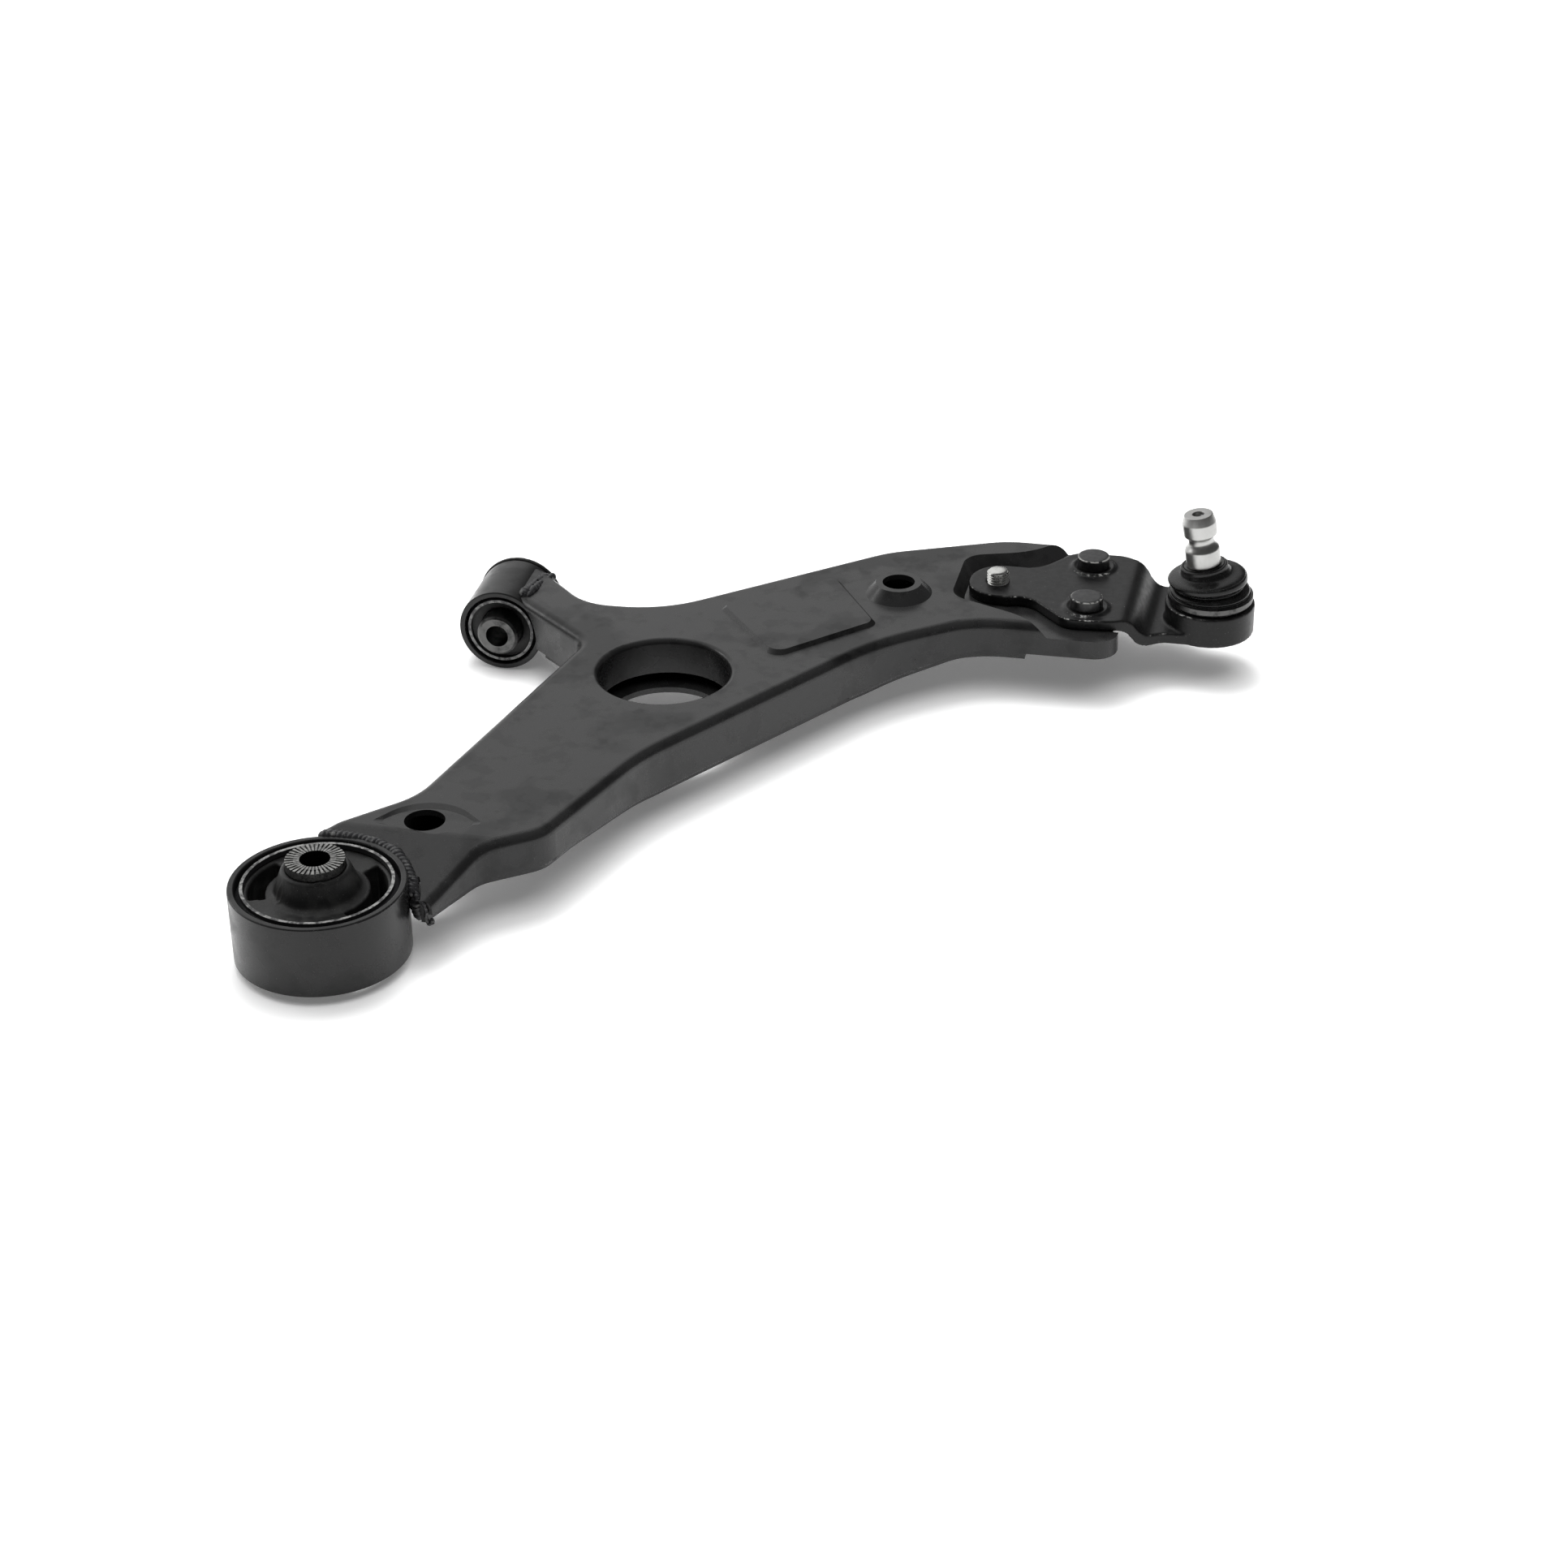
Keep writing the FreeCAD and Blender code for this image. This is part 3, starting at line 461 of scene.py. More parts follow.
def reskinned(node, name, cell, passes):
    """Copy of a CAD part with one even skin: loose triangles merged, remade in small
    cells, and smoothed so that its edges are eased like moulded or forged ones."""
    piece = bpy.data.objects.new(name, parts[node].data.copy())
    bpy.context.scene.collection.objects.link(piece)
    merge = piece.modifiers.new("merge", "WELD")
    merge.merge_threshold = 0.000002
    remake = piece.modifiers.new("remake", "REMESH")
    remake.mode = "VOXEL"
    remake.voxel_size = cell
    ease = piece.modifiers.new("ease", "SMOOTH")
    ease.factor = 0.5
    ease.iterations = passes
    bpy.context.view_layer.update()
    seen = piece.evaluated_get(bpy.context.evaluated_depsgraph_get())
    mesh = bpy.data.meshes.new_from_object(seen)
    bpy.data.objects.remove(piece)
    mesh.name = name
    mesh.materials.clear()
    mesh.polygons.foreach_set("use_smooth", np.ones(len(mesh.polygons), bool))
    return mesh


def set_points(mesh, points):
    """Put the rows back as a mesh's points."""
    mesh.vertices.foreach_set("co", points.astype(np.float32).ravel())
    mesh.update()


def rubber_finish(name, dark, pale, gloss):
    """Moulded rubber: pale bloom in soft patches, fine stipple, and a dull sheen."""
    finish, tree, shader, place = new_finish(name, dark, gloss, 0.0, 0.3)
    where = place.outputs["Object"]
    bloom = spread(tree, grain(tree, where, 120.0, 5.0, uneven=0.6), 0.42, 0.68)
    speck = spread(tree, grain(tree, where, 1900.0, 1.0), 0.70, 0.76)
    colour = tint(tree, bloom, dark, pale)
    colour = tint(tree, maths(tree, "MULTIPLY", speck, 0.5), colour, (0.11, 0.11, 0.11))
    tree.links.new(colour, shader.inputs["Base Color"])
    tree.links.new(spread(tree, bloom, 0.0, 1.0, gloss, gloss + 0.14),
                   shader.inputs["Roughness"])
    soft = relief(tree, shader, grain(tree, where, 240.0, 3.0), 0.00010)
    relief(tree, shader, grain(tree, where, 1700.0, 2.0), 0.00002, soft)
    return finish


def radial_blend(piece):
    """Bake a rubber's placement into its points."""
    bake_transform(piece)


rubber_black = rubber_finish("rubber_black", (0.008, 0.008, 0.008), (0.018, 0.018, 0.0175), 0.44)
rear_mesh = reskinned("rear_bush_rubber", "rear_rubber", 0.0007, 4)
points = mesh_points(rear_mesh)
upper = points[:, 2] > TOP_SIDE_Z
for x, y in DIMPLES:
    away = np.hypot(points[:, 0] - x, points[:, 1] - y) / DIMPLE_R
    ring = np.exp(-((away - 1.0) / 0.28) ** 2) * DIMPLE_RIM
    pit = np.exp(-(away / 0.55) ** 2) * DIMPLE_DEPTH
    points[:, 2] += np.where(upper, ring - pit, 0.0)
set_points(rear_mesh, points)
rear_rubber = place_piece("rear_rubber_web", rear_mesh, rubber_black)
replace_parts(rear_rubber, "rear_bush_rubber")
radius = np.hypot(points[:, 0], points[:, 1])
radial_blend(rear_rubber)


# ---- rear inner tube ----
# Thick cold-drawn steel tube with teeth rolled into its ends, which bite into the
# subframe when the bolt is tightened. Bare metal, lightly oiled.

TOOL_RING_DEPTH = 0.000004


def turned_steel(name, dark, pale, rough, ring_scale, stretch):
    """Machined bare steel: fine tool rings, rub marks and a little grey oxide."""
    finish, tree, shader, place = new_finish(name, pale, rough, 1.0, 0.5)
    where = place.outputs["Object"]
    lines = grain(tree, where, ring_scale, 3.0, stretch=stretch)
    oxide = spread(tree, grain(tree, where, 210.0, 5.0, uneven=0.6), 0.45, 0.7)
    tree.links.new(tint(tree, oxide, pale, dark), shader.inputs["Base Color"])
    tree.links.new(spread(tree, lines, 0.3, 0.7, rough - 0.07, rough + 0.09),
                   shader.inputs["Roughness"])
    relief(tree, shader, lines, TOOL_RING_DEPTH)
    return finish


TEETH = 36


def toothed_steel(name, valley_shade, crest):
    """Rolled teeth on the end faces: pale steel on the crests and painted shade in the
    valleys, where the cosine of TEETH times the angle round the tube is near one, and
    oxide grey on the sides. Fine speckle and rub marks lie over both."""
    finish, tree, shader, place = new_finish(name, crest, 0.42, 1.0, 0.5)
    where = place.outputs["Object"]
    axes = split_axes(tree, where)
    facing = split_axes(tree, place.outputs["Normal"])
    angle = maths(tree, "ARCTAN2", axes["Y"], axes["X"])
    turns = maths(tree, "COSINE", maths(tree, "MULTIPLY", angle, float(TEETH)), 0.0)
    # painted shade: dark in the valleys between the teeth
    painted_valley_shade = spread(tree, turns, 0.0, 0.7)
    end_face = spread(tree, maths(tree, "ABSOLUTE", facing["Z"], 0.0), 0.4, 0.6)
    wear_and_highlight = spread(tree, grain(tree, where, 420.0, 5.0, uneven=0.65), 0.35, 0.65)
    top = tint(tree, wear_and_highlight, tuple(value * 0.6 for value in crest), crest)
    top = tint(tree, painted_valley_shade, top, valley_shade)
    side = tint(tree, wear_and_highlight, (0.025, 0.025, 0.025), (0.08, 0.08, 0.078))
    tree.links.new(tint(tree, end_face, side, top), shader.inputs["Base Color"])
    tree.links.new(spread(tree, wear_and_highlight, 0.0, 1.0, 0.50, 0.34), shader.inputs["Roughness"])
    relief(tree, shader, wear_and_highlight, 0.00002)
    return finish


# The tube's finish paints shade into the valleys between its teeth.
dress("rear_bush_tube", toothed_steel("tooth_steel", (0.03, 0.03, 0.03), (0.36, 0.36, 0.35)))


# ---- front bush sleeve, can and weld ----
# A shorter, thinner tube lies across the arm's other inboard tip, with its own
# bush pressed in from the front. Its weld is heavier and left rough.

FRONT_AXIS_Y = 0.3056       # middle of the sleeve
FRONT_LIP = (0.0189, 0.0191)
FRONT_WELD_R = 0.0029
FRONT_WELD_PITCH = 0.0028
CAP_R = 0.0021              # the second pass laid over the first
CAP_PITCH = 0.0034
CAP_OUT = 0.0012
CAP_SHIFT = (0.0020, 0.0, -0.0004)
FRONT_DROPS = 60
FRONT_DROP_OUT = 0.0016
FRONT_DROP_SCATTER = 0.0007

dress("front_bush_housing", ring_coat)
dress("front_bush_can", lip_finish("front_can_lip", *FRONT_LIP, "Y", FRONT_AXIS_Y))
front_points = node_points("front_housing_weld")
front_line = middle_line(front_points, front_points[:, 1], SEAM_STEP)
front_weld = skin("front_weld_bead",
                  weld_grid(front_line, FRONT_WELD_R, FRONT_WELD_PITCH, 0.18, rng), weld_coat)
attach(front_weld, "arm")
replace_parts(front_weld, "front_housing_weld")
across_sleeve = front_line - np.array([0.0, FRONT_AXIS_Y, 0.0])
outward = across_sleeve * np.array([1.0, 0.0, 1.0])
outward /= np.linalg.norm(outward, axis=1)[:, None]
second_line = front_line + outward * CAP_OUT + np.array(CAP_SHIFT)
second_pass = skin("front_weld_cap", weld_grid(second_line, CAP_R, CAP_PITCH, 0.30, rng),
                   weld_coat)
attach(second_pass, "arm")
pick = rng.integers(0, len(front_line), FRONT_DROPS)
spot = (front_line[pick] + outward[pick] * FRONT_DROP_OUT
        + rng.normal(0.0, FRONT_DROP_SCATTER, (FRONT_DROPS, 3)))
drop_sizes = DROP_R * (0.6 + rng.random(FRONT_DROPS) ** 2 * 1.3)
front_spatter = droplets("front_spatter", spot, drop_sizes, weld_coat)
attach(front_spatter, "arm")


# ---- front bush rubber and tube ----
# A plain rubber sleeve bonded between the can and a thick inner tube, with a
# turned-over lip at its far end that keeps the bracket off the steel.

front_mesh = reskinned("front_bush_rubber", "front_rubber", 0.0006, 3)
front_rubber = place_piece("front_rubber_sleeve", front_mesh, rubber_black)
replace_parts(front_rubber, "front_bush_rubber")
points = mesh_points(front_mesh)
radius = np.hypot(points[:, 0], points[:, 2])
radial_blend(front_rubber)
oiled_tube = turned_steel("oiled_tube", (0.03, 0.03, 0.03), (0.10, 0.10, 0.098), 0.40, 900.0,
                          (1, 0.4, 1))
dress("front_bush_tube", oiled_tube)


# ---- ball joint plate ----
# Drop-forged housing and fixing plate in one, trimmed and coated black. Its upper
# edges on the near side carry pale patches, partly scraped coat and partly a painted highlight,
# and it steps down under the housing.

RIVET_PAD_R = 0.0106
RIVET_PAD_RISE = 0.0007
RIVET_PAD_WIDTH = 0.0012
PLATE_TOP_BAND = 0.0012     # within this of the top, a point is on the upper face


def forged_finish(name):
    """Forged scale under black: coarse pits and lumps, pale patches along the rounded
    upper edges that tilt up towards the camera, partly scraped coat and partly a painted
    highlight, with a few bright pin-prick specks."""
    finish, tree, shader, place = new_finish(name, (0.006, 0.006, 0.0062), 0.38, 0.0, 0.26)
    where = place.outputs["Object"]
    lump = grain(tree, where, 300.0, 5.0, uneven=0.6)
    pit = grain(tree, where, 1100.0, 3.0)
    facing = split_axes(tree, place.outputs["Normal"])
    lit_side = spread(tree, facing["Z"], 0.30, 0.50)
    flat_top = spread(tree, facing["Z"], 0.88, 0.97, 1.0, 0.0)
    near_side = spread(tree, facing["Y"], -0.50, -0.25, 1.0, 0.0)
    # painted highlight mixed with scraped coat: rounded upper edges tilted up and facing the
    # camera
    edge = maths(tree, "MULTIPLY", maths(tree, "MULTIPLY", lit_side, flat_top), near_side)
    upper_rim = spread(tree, split_axes(tree, where)["Z"], 0.0030, 0.0090)
    patchy = spread(tree, grain(tree, where, 38.0, 2.0), 0.40, 0.52)
    rim = maths(tree, "MULTIPLY", maths(tree, "MULTIPLY", edge, upper_rim), patchy)
    broken = spread(tree, grain(tree, where, 420.0, 6.0, uneven=0.75), 0.50, 0.60)
    scrape_and_highlight = maths(tree, "MULTIPLY", rim, broken)
    speck = spread(tree, grain(tree, where, 1300.0, 1.0), 0.75, 0.79)
    colour = tint(tree, spread(tree, lump, 0.3, 0.7), (0.003, 0.003, 0.0031),
                  (0.007, 0.007, 0.0071))
    colour = tint(tree, maths(tree, "MULTIPLY", scrape_and_highlight, 0.7), colour, (0.34, 0.34, 0.33))
    colour = tint(tree, maths(tree, "MULTIPLY", speck, 0.5), colour, (0.20, 0.20, 0.19))
    tree.links.new(colour, shader.inputs["Base Color"])
    tree.links.new(spread(tree, lump, 0.3, 0.7, 0.30, 0.42), shader.inputs["Roughness"])
    coarse = relief(tree, shader, lump, 0.00005)
    relief(tree, shader, pit, 0.000008, coarse)
    return finish


forged_black = forged_finish("forged_black")
plate_mesh = reskinned("ball_joint_plate", "plate_skin", 0.00075, 5)
rivet_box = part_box("plate_rivets")
rivet_points = node_points("plate_rivets")
rivet_split = (rivet_box[0].y + rivet_box[1].y) / 2
rivet_sides = {"rivet_near": rivet_points[rivet_points[:, 1] < rivet_split],
               "rivet_far": rivet_points[rivet_points[:, 1] >= rivet_split]}
points = mesh_points(plate_mesh)
plate_top = np.percentile(points[:, 2][points[:, 0] < rivet_box[1].x], 99.0)
upper = points[:, 2] > plate_top - PLATE_TOP_BAND
for own in rivet_sides.values():
    centre = (own.min(0) + own.max(0)) / 2
    away = np.hypot(points[:, 0] - centre[0], points[:, 1] - centre[1])
    swell = np.exp(-((away - RIVET_PAD_R) / RIVET_PAD_WIDTH) ** 2) * RIVET_PAD_RISE
    points[:, 2] += np.where(upper, swell, 0.0)
set_points(plate_mesh, points)
plate = place_piece("forged_plate", plate_mesh, forged_black)
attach(plate, "arm")
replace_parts(plate, "ball_joint_plate")
dress("ball_joint_cover", forged_black)


# ---- rivets and bolt ----
# Two hot-closed rivets with flat heads hold the plate, and a bolt from below
# shows its bright plated end with three turns of thread.

THREAD_PITCH = 0.00150
THREAD_DEPTH = 0.00085
THREAD_R = 0.0059
THREAD_FROM = 0.0076        # below the bolt's end
THREAD_TO = 0.0012
HEX_HALF = 0.0090           # half the width across the bolt head's flats
HEX_ROWS = [(0.05, 0.0), (0.90, 0.0), (0.97, 0.0006), (1.0, 0.0012), (1.0, 0.0074),
            (0.60, 0.0075), (0.56, 0.0092)]     # share of that width, rise
RIM_HIGHLIGHT_FADE = 0.0004
HEAD_R = 0.0085
HEAD_H = 0.0065
SHANK_R = 0.0060
POLE_R = 0.0002             # the profile starts and ends this near the axis


def softened(profile, radii):
    """Profile of (radius, height) with each inner corner replaced by a short curve
    that starts and ends its own rounding distance from the corner."""
    profile = np.array(profile, float)
    rows = [profile[:1]]
    blend = np.linspace(0.0, 1.0, 6)[:, None]
    for before, corner, after, reach in zip(profile, profile[1:], profile[2:], radii):
        back = before - corner
        ahead = after - corner
        start = corner + back * min(0.5, reach / np.linalg.norm(back))
        end = corner + ahead * min(0.5, reach / np.linalg.norm(ahead))
        rows.append((1 - blend) ** 2 * start + 2 * blend * (1 - blend) * corner
                    + blend ** 2 * end)
    rows.append(profile[-1:])
    return np.vstack(rows)


def turned(profile, around=96):
    """Points of a turned surface: each (radius, height) of the profile swept round
    the upright axis."""
    turn = np.linspace(0, 2 * math.pi, around, endpoint=False)
    return np.stack([profile[:, :1] * np.cos(turn), profile[:, :1] * np.sin(turn),
                     profile[:, 1:] * np.ones(around)], -1)


def rim_highlight_coat(name, dark, bright, low, high, rough):
    """Black coat with a painted highlight: a pale band between two heights, broken up by noise.
    """
    finish, tree, shader, place = new_finish(name, dark, rough, 0.0, 0.5)
    where = place.outputs["Object"]
    height = split_axes(tree, where)["Z"]
    rim_highlight_band = maths(tree, "MULTIPLY", spread(tree, height, low, low + RIM_HIGHLIGHT_FADE),
                 spread(tree, height, high - RIM_HIGHLIGHT_FADE, high, 1.0, 0.0))
    broken = spread(tree, grain(tree, where, 500.0, 4.0), 0.42, 0.55)
    cloud = grain(tree, where, 380.0, 5.0)
    colour = tint(tree, spread(tree, cloud, 0.3, 0.7), dark,
                  tuple(value * 1.9 for value in dark))
    colour = tint(tree, maths(tree, "MULTIPLY", rim_highlight_band, broken), colour, bright)
    tree.links.new(colour, shader.inputs["Base Color"])
    tree.links.new(spread(tree, cloud, 0.3, 0.7, rough - 0.05, rough + 0.1),
                   shader.inputs["Roughness"])
    relief(tree, shader, cloud, 0.00006)
    return finish


rivet_top = rivet_box[1].z
# The rivet heads carry a painted highlight: a pale band round their rounded rims.
rivet_black = rim_highlight_coat("rivet_black", (0.006, 0.006, 0.0063), (0.26, 0.26, 0.25),
                        rivet_top - 0.0011, rivet_top - 0.0002, 0.34)
for name, own in rivet_sides.items():
    centre = (own.min(0) + own.max(0)) / 2
    base = own[:, 2].min()
    outline = softened([(0.0, base), (SHANK_R, base), (HEAD_R, base + 0.0025),
                        (HEAD_R, base + 0.0045), (SHANK_R, base + 0.0046),
                        (SHANK_R, rivet_top - HEAD_H), (HEAD_R, rivet_top - HEAD_H),
                        (HEAD_R, rivet_top - 0.0006), (HEAD_R - 0.0012, rivet_top - 0.0001),
                        (0.0, rivet_top)],
                       [0.0006, 0.0006, 0.0003, 0.0003, 0.0003, 0.0005, 0.0008, 0.0007])
    outline[0, 0] = outline[-1, 0] = POLE_R
    head = skin(name, turned(outline) + np.array([centre[0], centre[1], 0.0]), rivet_black)
    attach(head, "arm")
    if name == "rivet_near":
        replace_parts(head, "plate_rivets")

bolt_low, bolt_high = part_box("plate_bolt")
bolt_centre = np.array([(bolt_low.x + bolt_high.x) / 2, (bolt_low.y + bolt_high.y) / 2, 0.0])
zinc = turned_steel("zinc_plate", (0.52, 0.52, 0.50), (0.66, 0.66, 0.64), 0.26, 800.0,
                    (1, 1, 1))
heights = np.linspace(bolt_high.z - THREAD_FROM, bolt_high.z - THREAD_TO, 60)
turn = np.linspace(0, 2 * math.pi, 72, endpoint=False)
wave = np.abs(((heights[:, None] / THREAD_PITCH - turn[None] / (2 * math.pi)) % 1.0) * 2 - 1)
thread_r = THREAD_R - THREAD_DEPTH * wave ** 1.3
thread = np.stack([thread_r * np.cos(turn), thread_r * np.sin(turn),
                   heights[:, None] * np.ones(72)], -1)
crown = turned(np.array([(0.0046, bolt_high.z - 0.0003), (0.0040, bolt_high.z),
                         (0.0015, bolt_high.z), (0.0004, bolt_high.z)]), 72)
bolt_end = skin("bolt_thread", np.concatenate([thread, crown]) + bolt_centre, zinc)
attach(bolt_end, "arm")
flat_r = HEX_HALF / np.cos((turn + math.pi / 6) % (math.pi / 3) - math.pi / 6)
hexagon = np.stack([np.stack([flat_r * size * np.cos(turn), flat_r * size * np.sin(turn),
                              np.full(72, bolt_low.z + rise)], -1) for size, rise in HEX_ROWS])
bolt_head = skin("bolt_head", hexagon + bolt_centre, zinc)
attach(bolt_head, "arm")
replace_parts(bolt_head, "plate_bolt")


# ---- ball joint insides ----
# Natural plastic seat and liner round the ball, and a rubber ring under them that
# keeps the play out. All are shut in by the housing and its pressed cover.

def nylon_finish(name, colour):
    """Cloudy natural nylon with a waxy surface."""
    finish, tree, shader, place = new_finish(name, colour, 0.45)
    where = place.outputs["Object"]
    cloud = spread(tree, grain(tree, where, 180.0, 4.0), 0.35, 0.65)
    tree.links.new(tint(tree, cloud, colour, tuple(value * 0.85 for value in colour)),
                   shader.inputs["Base Color"])
    relief(tree, shader, grain(tree, where, 1200.0, 2.0), 0.00002)
    return finish


nylon = nylon_finish("seat_nylon", (0.62, 0.60, 0.52))
for inner in ("ball_seat", "ball_liner"):
    dress(inner, nylon)
dress("seat_preload_ring", rubber_black)


# ---- ball stud ----
# One turned steel forging: ball, waisted neck, plain pin, a groove for the pinch
# bolt and a short collar with a centre-drilled end. Left bright and oiled.

STUD_LEAN = math.radians(-8.5)
BALL_CENTRE = np.array([0.366, 0.358, 0.0095])
BALL_R = 0.01197


def leaned(grid, angle=STUD_LEAN):
    """Points drawn upright on the ball's centre, tipped about the pivot line's
    direction and moved to the ball."""
    c, s = np.cos(angle), np.sin(angle)
    x, y, z = grid[..., 0], grid[..., 1], grid[..., 2]
    return np.stack([x * c + z * s, y, z * c - x * s], -1) + BALL_CENTRE


def stud_finish(name):
    """Bright turning: tool rings that follow the height along the stud, fine rubs
    across them, and grey stains in patches."""
    finish, tree, shader, place = new_finish(name, (0.62, 0.62, 0.61), 0.24, 1.0, 0.5)
    where = place.outputs["UV"]
    rings = grain(tree, where, 2600.0, 1.0, stretch=(0.0, 1.0, 0.0))
    rub = grain(tree, where, 60.0, 4.0, stretch=(1.0, 12.0, 0.0))
    stain = spread(tree, grain(tree, place.outputs["Object"], 150.0, 3.0), 0.5, 0.75)
    tree.links.new(tint(tree, stain, (0.46, 0.46, 0.45), (0.38, 0.38, 0.37)),
                   shader.inputs["Base Color"])
    tree.links.new(spread(tree, rub, 0.3, 0.7, 0.32, 0.40), shader.inputs["Roughness"])
    relief(tree, shader, rings, 0.000001)
    return finish


cap = np.linspace(math.radians(23.0), math.radians(145.0), 26)
ball_rows = np.stack([BALL_R * np.sin(cap), -BALL_R * np.cos(cap)], -1)
shank_rows = softened([(0.0068, 0.0100), (0.0068, 0.0180), (0.0084, 0.0236),
                       (0.0084, 0.0291), (0.0090, 0.0293), (0.0090, 0.0380),
                       (0.0072, 0.0402), (0.0064, 0.0420), (0.0070, 0.0446),
                       (0.0086, 0.0458), (0.0088, 0.0527), (0.0074, 0.0572),
                       (0.0031, 0.0572), (0.0026, 0.0556), (0.0003, 0.0530)],
                      [0.002, 0.0015, 0.0002, 0.0001, 0.0008, 0.0008, 0.0015, 0.0008,
                       0.0006, 0.0004, 0.0004, 0.0003, 0.0003])
stud_rows = np.vstack([[(POLE_R, ball_rows[0, 1])], ball_rows, shank_rows])
stud = skin("turned_stud", leaned(turned(stud_rows, 128)), stud_finish("stud_bright"))
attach(stud, "joint_stud")
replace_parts(stud, "ball_stud")


# ---- dust boot ----
# Moulded rubber gaiter. Its foot is held on the housing by a steel ring, one fold
# lets it follow the stud, and its lip is drawn tight round the pin. It is made in
# two pieces that meet in the fold.

BOOT_LEAN_FROM = 0.0122
BOOT_LEAN_TO = 0.0260
BOOT_OUTSIDE = [(0.0214, 0.0080), (0.0213, 0.0122), (0.0202, 0.0129), (0.0208, 0.0143),
                (0.0197, 0.0156), (0.0179, 0.0165), (0.0184, 0.0177), (0.0203, 0.0192),
                (0.0206, 0.0206), (0.0203, 0.0218), (0.0188, 0.0228), (0.0150, 0.0236),
                (0.0134, 0.0242), (0.0128, 0.0254), (0.0123, 0.0268), (0.0122, 0.0282),
                (0.0114, 0.0286)]
BOOT_INSIDE = [(0.0107, 0.0286), (0.0106, 0.0262), (0.0120, 0.0240), (0.0144, 0.0226),
               (0.0176, 0.0210), (0.0184, 0.0196), (0.0158, 0.0165), (0.0188, 0.0144),
               (0.0196, 0.0122), (0.0201, 0.0108), (0.0201, 0.0079)]
BOOT_SPLIT = 0.0222


def flowing(points, count):
    """Smooth curve through the points: Catmull-Rom, sampled evenly between each two."""
    points = np.array(points, float)
    padded = np.vstack([2 * points[0] - points[1], points, 2 * points[-1] - points[-2]])
    share = np.linspace(0.0, 1.0, count, endpoint=False)[:, None]
    runs = [0.5 * (2 * b + (c - a) * share + (2 * a - 5 * b + 4 * c - d) * share ** 2
                   + (3 * b - a - 3 * c + d) * share ** 3)
            for a, b, c, d in zip(padded, padded[1:], padded[2:], padded[3:])]
    return np.vstack(runs + [points[-1:]])


def boot_grid(loop, around=120):
    """Closed section swept round the stud: each height leans a little more than the
    one below, from upright at the foot to the stud's own lean at the lip."""
    grid = turned(loop, around)
    share = np.clip((loop[:, 1] - BOOT_LEAN_FROM) / (BOOT_LEAN_TO - BOOT_LEAN_FROM), 0.0, 1.0)
    return leaned(grid, (STUD_LEAN * share)[:, None])


outside = flowing(BOOT_OUTSIDE, 5)
inside = flowing(BOOT_INSIDE, 4)
boot_black = rubber_finish("boot_black", (0.004, 0.004, 0.004), (0.008, 0.008, 0.008), 0.22)
low_out = outside[:np.argmax(outside[:, 1] > BOOT_SPLIT)]
high_out = outside[np.argmax(outside[:, 1] > BOOT_SPLIT) - 1:]
high_in = inside[:np.argmax(inside[:, 1] < BOOT_SPLIT - 0.001) + 1]
low_in = inside[np.argmax(inside[:, 1] < BOOT_SPLIT - 0.001):]
lower_boot = skin("boot_lower", boot_grid(np.vstack([low_out, high_out[:1], low_in])),
                  boot_black, wrap_rows=True)
upper_boot = skin("boot_upper", boot_grid(np.vstack([high_out, high_in])),
                  boot_black, wrap_rows=True)
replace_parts(lower_boot, "dust_boot")
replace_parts(upper_boot, "dust_boot")
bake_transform(lower_boot)
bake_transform(upper_boot)
ring_steel = turned_steel("ring_steel", (0.03, 0.03, 0.03), (0.10, 0.10, 0.098), 0.40,
                          700.0, (1, 1, 3))
for ring in ("boot_lower_ring", "boot_upper_ring"):
    dress(ring, ring_steel)


# ---- floor, light and camera ----
# A plain pale table that glows a little. The room is bright high behind and to the
# left of the part and dim elsewhere, so black faces read by what they mirror. Two soft
# lamps above don't show in reflections; a weak one at the left does.

FLOOR_SPAN = 14.0
FLOOR_GLOW = 0.15
ROOM_DIM = 0.09
ROOM_BRIGHT = 1.02
BRIGHT_WAY = (-0.60, 0.55, 0.58)
BRIGHT_FROM = 0.56          # cosine to that way where the room starts to brighten
BRIGHT_FULL = 0.92
LAMPS = (("key_above", (-0.1, 0.75, 1.9), 22.0, 0.9),
         ("fill_above", (0.2, 0.2, 2.2), 62.0, 3.0),
         ("left_edge", (-1.6, 0.5, 0.8), 3.0, 0.5))     # place, watts, width
LAMP_AIM = (0.18, 0.18, 0.0)

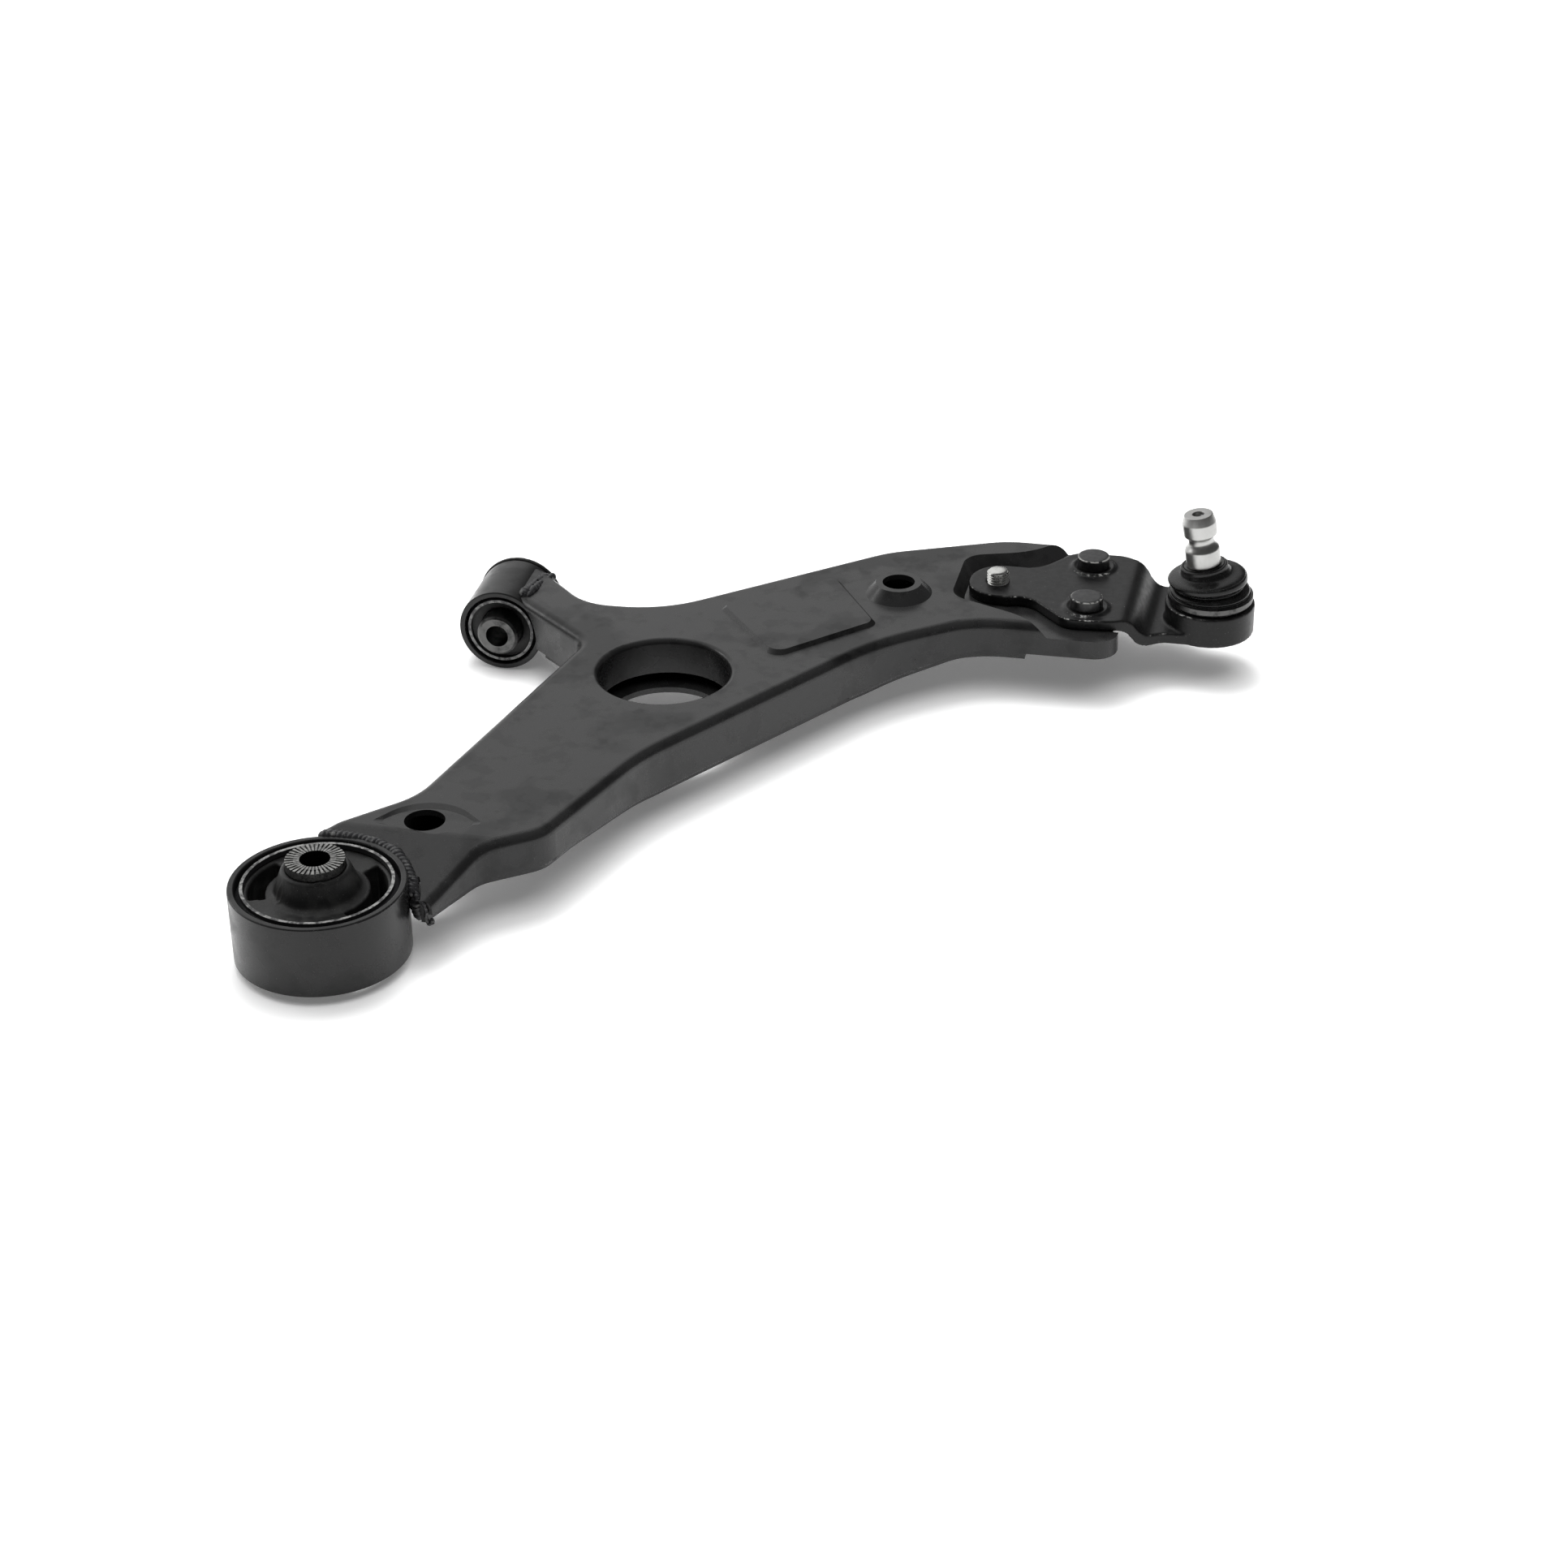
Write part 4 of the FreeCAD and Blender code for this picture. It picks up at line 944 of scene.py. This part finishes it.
low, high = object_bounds()
floor_mesh = bpy.data.meshes.new("floor")
corners = ((-1, -1), (1, -1), (1, 1), (-1, 1))
floor_mesh.from_pydata([(x * FLOOR_SPAN, y * FLOOR_SPAN, low.z) for x, y in corners], [],
                       [(0, 1, 2, 3)])
floor = bpy.data.objects.new("floor", floor_mesh)
bpy.context.scene.collection.objects.link(floor)
floor_finish, _, floor_shader, _ = new_finish("floor_white", (0.93, 0.93, 0.93), 0.8, 0.0, 0.1)
floor_shader.inputs["Emission Color"].default_value = (1.0, 1.0, 1.0, 1.0)
floor_shader.inputs["Emission Strength"].default_value = FLOOR_GLOW
floor_mesh.materials.append(floor_finish)

room = bpy.data.worlds.new("room")
room.use_nodes = True
bpy.context.scene.world = room
sky = room.node_tree.nodes["Background"]
towards = room.node_tree.nodes.new("ShaderNodeTexCoord").outputs["Generated"]
back_wall = room.node_tree.nodes.new("ShaderNodeVectorMath")
back_wall.operation = "DOT_PRODUCT"
back_wall.inputs[1].default_value = BRIGHT_WAY
room.node_tree.links.new(towards, back_wall.inputs[0])
behind = spread(room.node_tree, back_wall.outputs["Value"], BRIGHT_FROM, BRIGHT_FULL)
strength = spread(room.node_tree, behind, 0.0, 1.0, ROOM_DIM, ROOM_BRIGHT)
room.node_tree.links.new(strength, sky.inputs["Strength"])
sky.inputs["Color"].default_value = (1.0, 1.0, 1.0, 1.0)

for name, at, energy, width in LAMPS:
    lamp = bpy.data.lights.new(name, "AREA")
    lamp.energy = energy
    lamp.size = width
    lamp_object = bpy.data.objects.new(name, lamp)
    bpy.context.scene.collection.objects.link(lamp_object)
    lamp_object.location = at
    lamp_object.visible_glossy = name == "left_edge"
    aim = Vector(LAMP_AIM) - Vector(at)
    lamp_object.rotation_euler = aim.to_track_quat("-Z", "Y").to_euler()

camera_data = bpy.data.cameras.new("camera")
camera_data.sensor_width = 36.0
camera_data.lens = 77.2
camera = bpy.data.objects.new("camera", camera_data)
bpy.context.scene.collection.objects.link(camera)
camera.matrix_world = Matrix(((0.9762, -0.0956, 0.1948, 0.5001),
                              (0.2164, 0.4923, -0.8431, -1.2194),
                              (-0.0153, 0.8652, 0.5013, 0.8183),
                              (0.0, 0.0, 0.0, 1.0)))
bpy.context.scene.camera = camera
bpy.context.scene.view_settings.view_transform = "Standard"
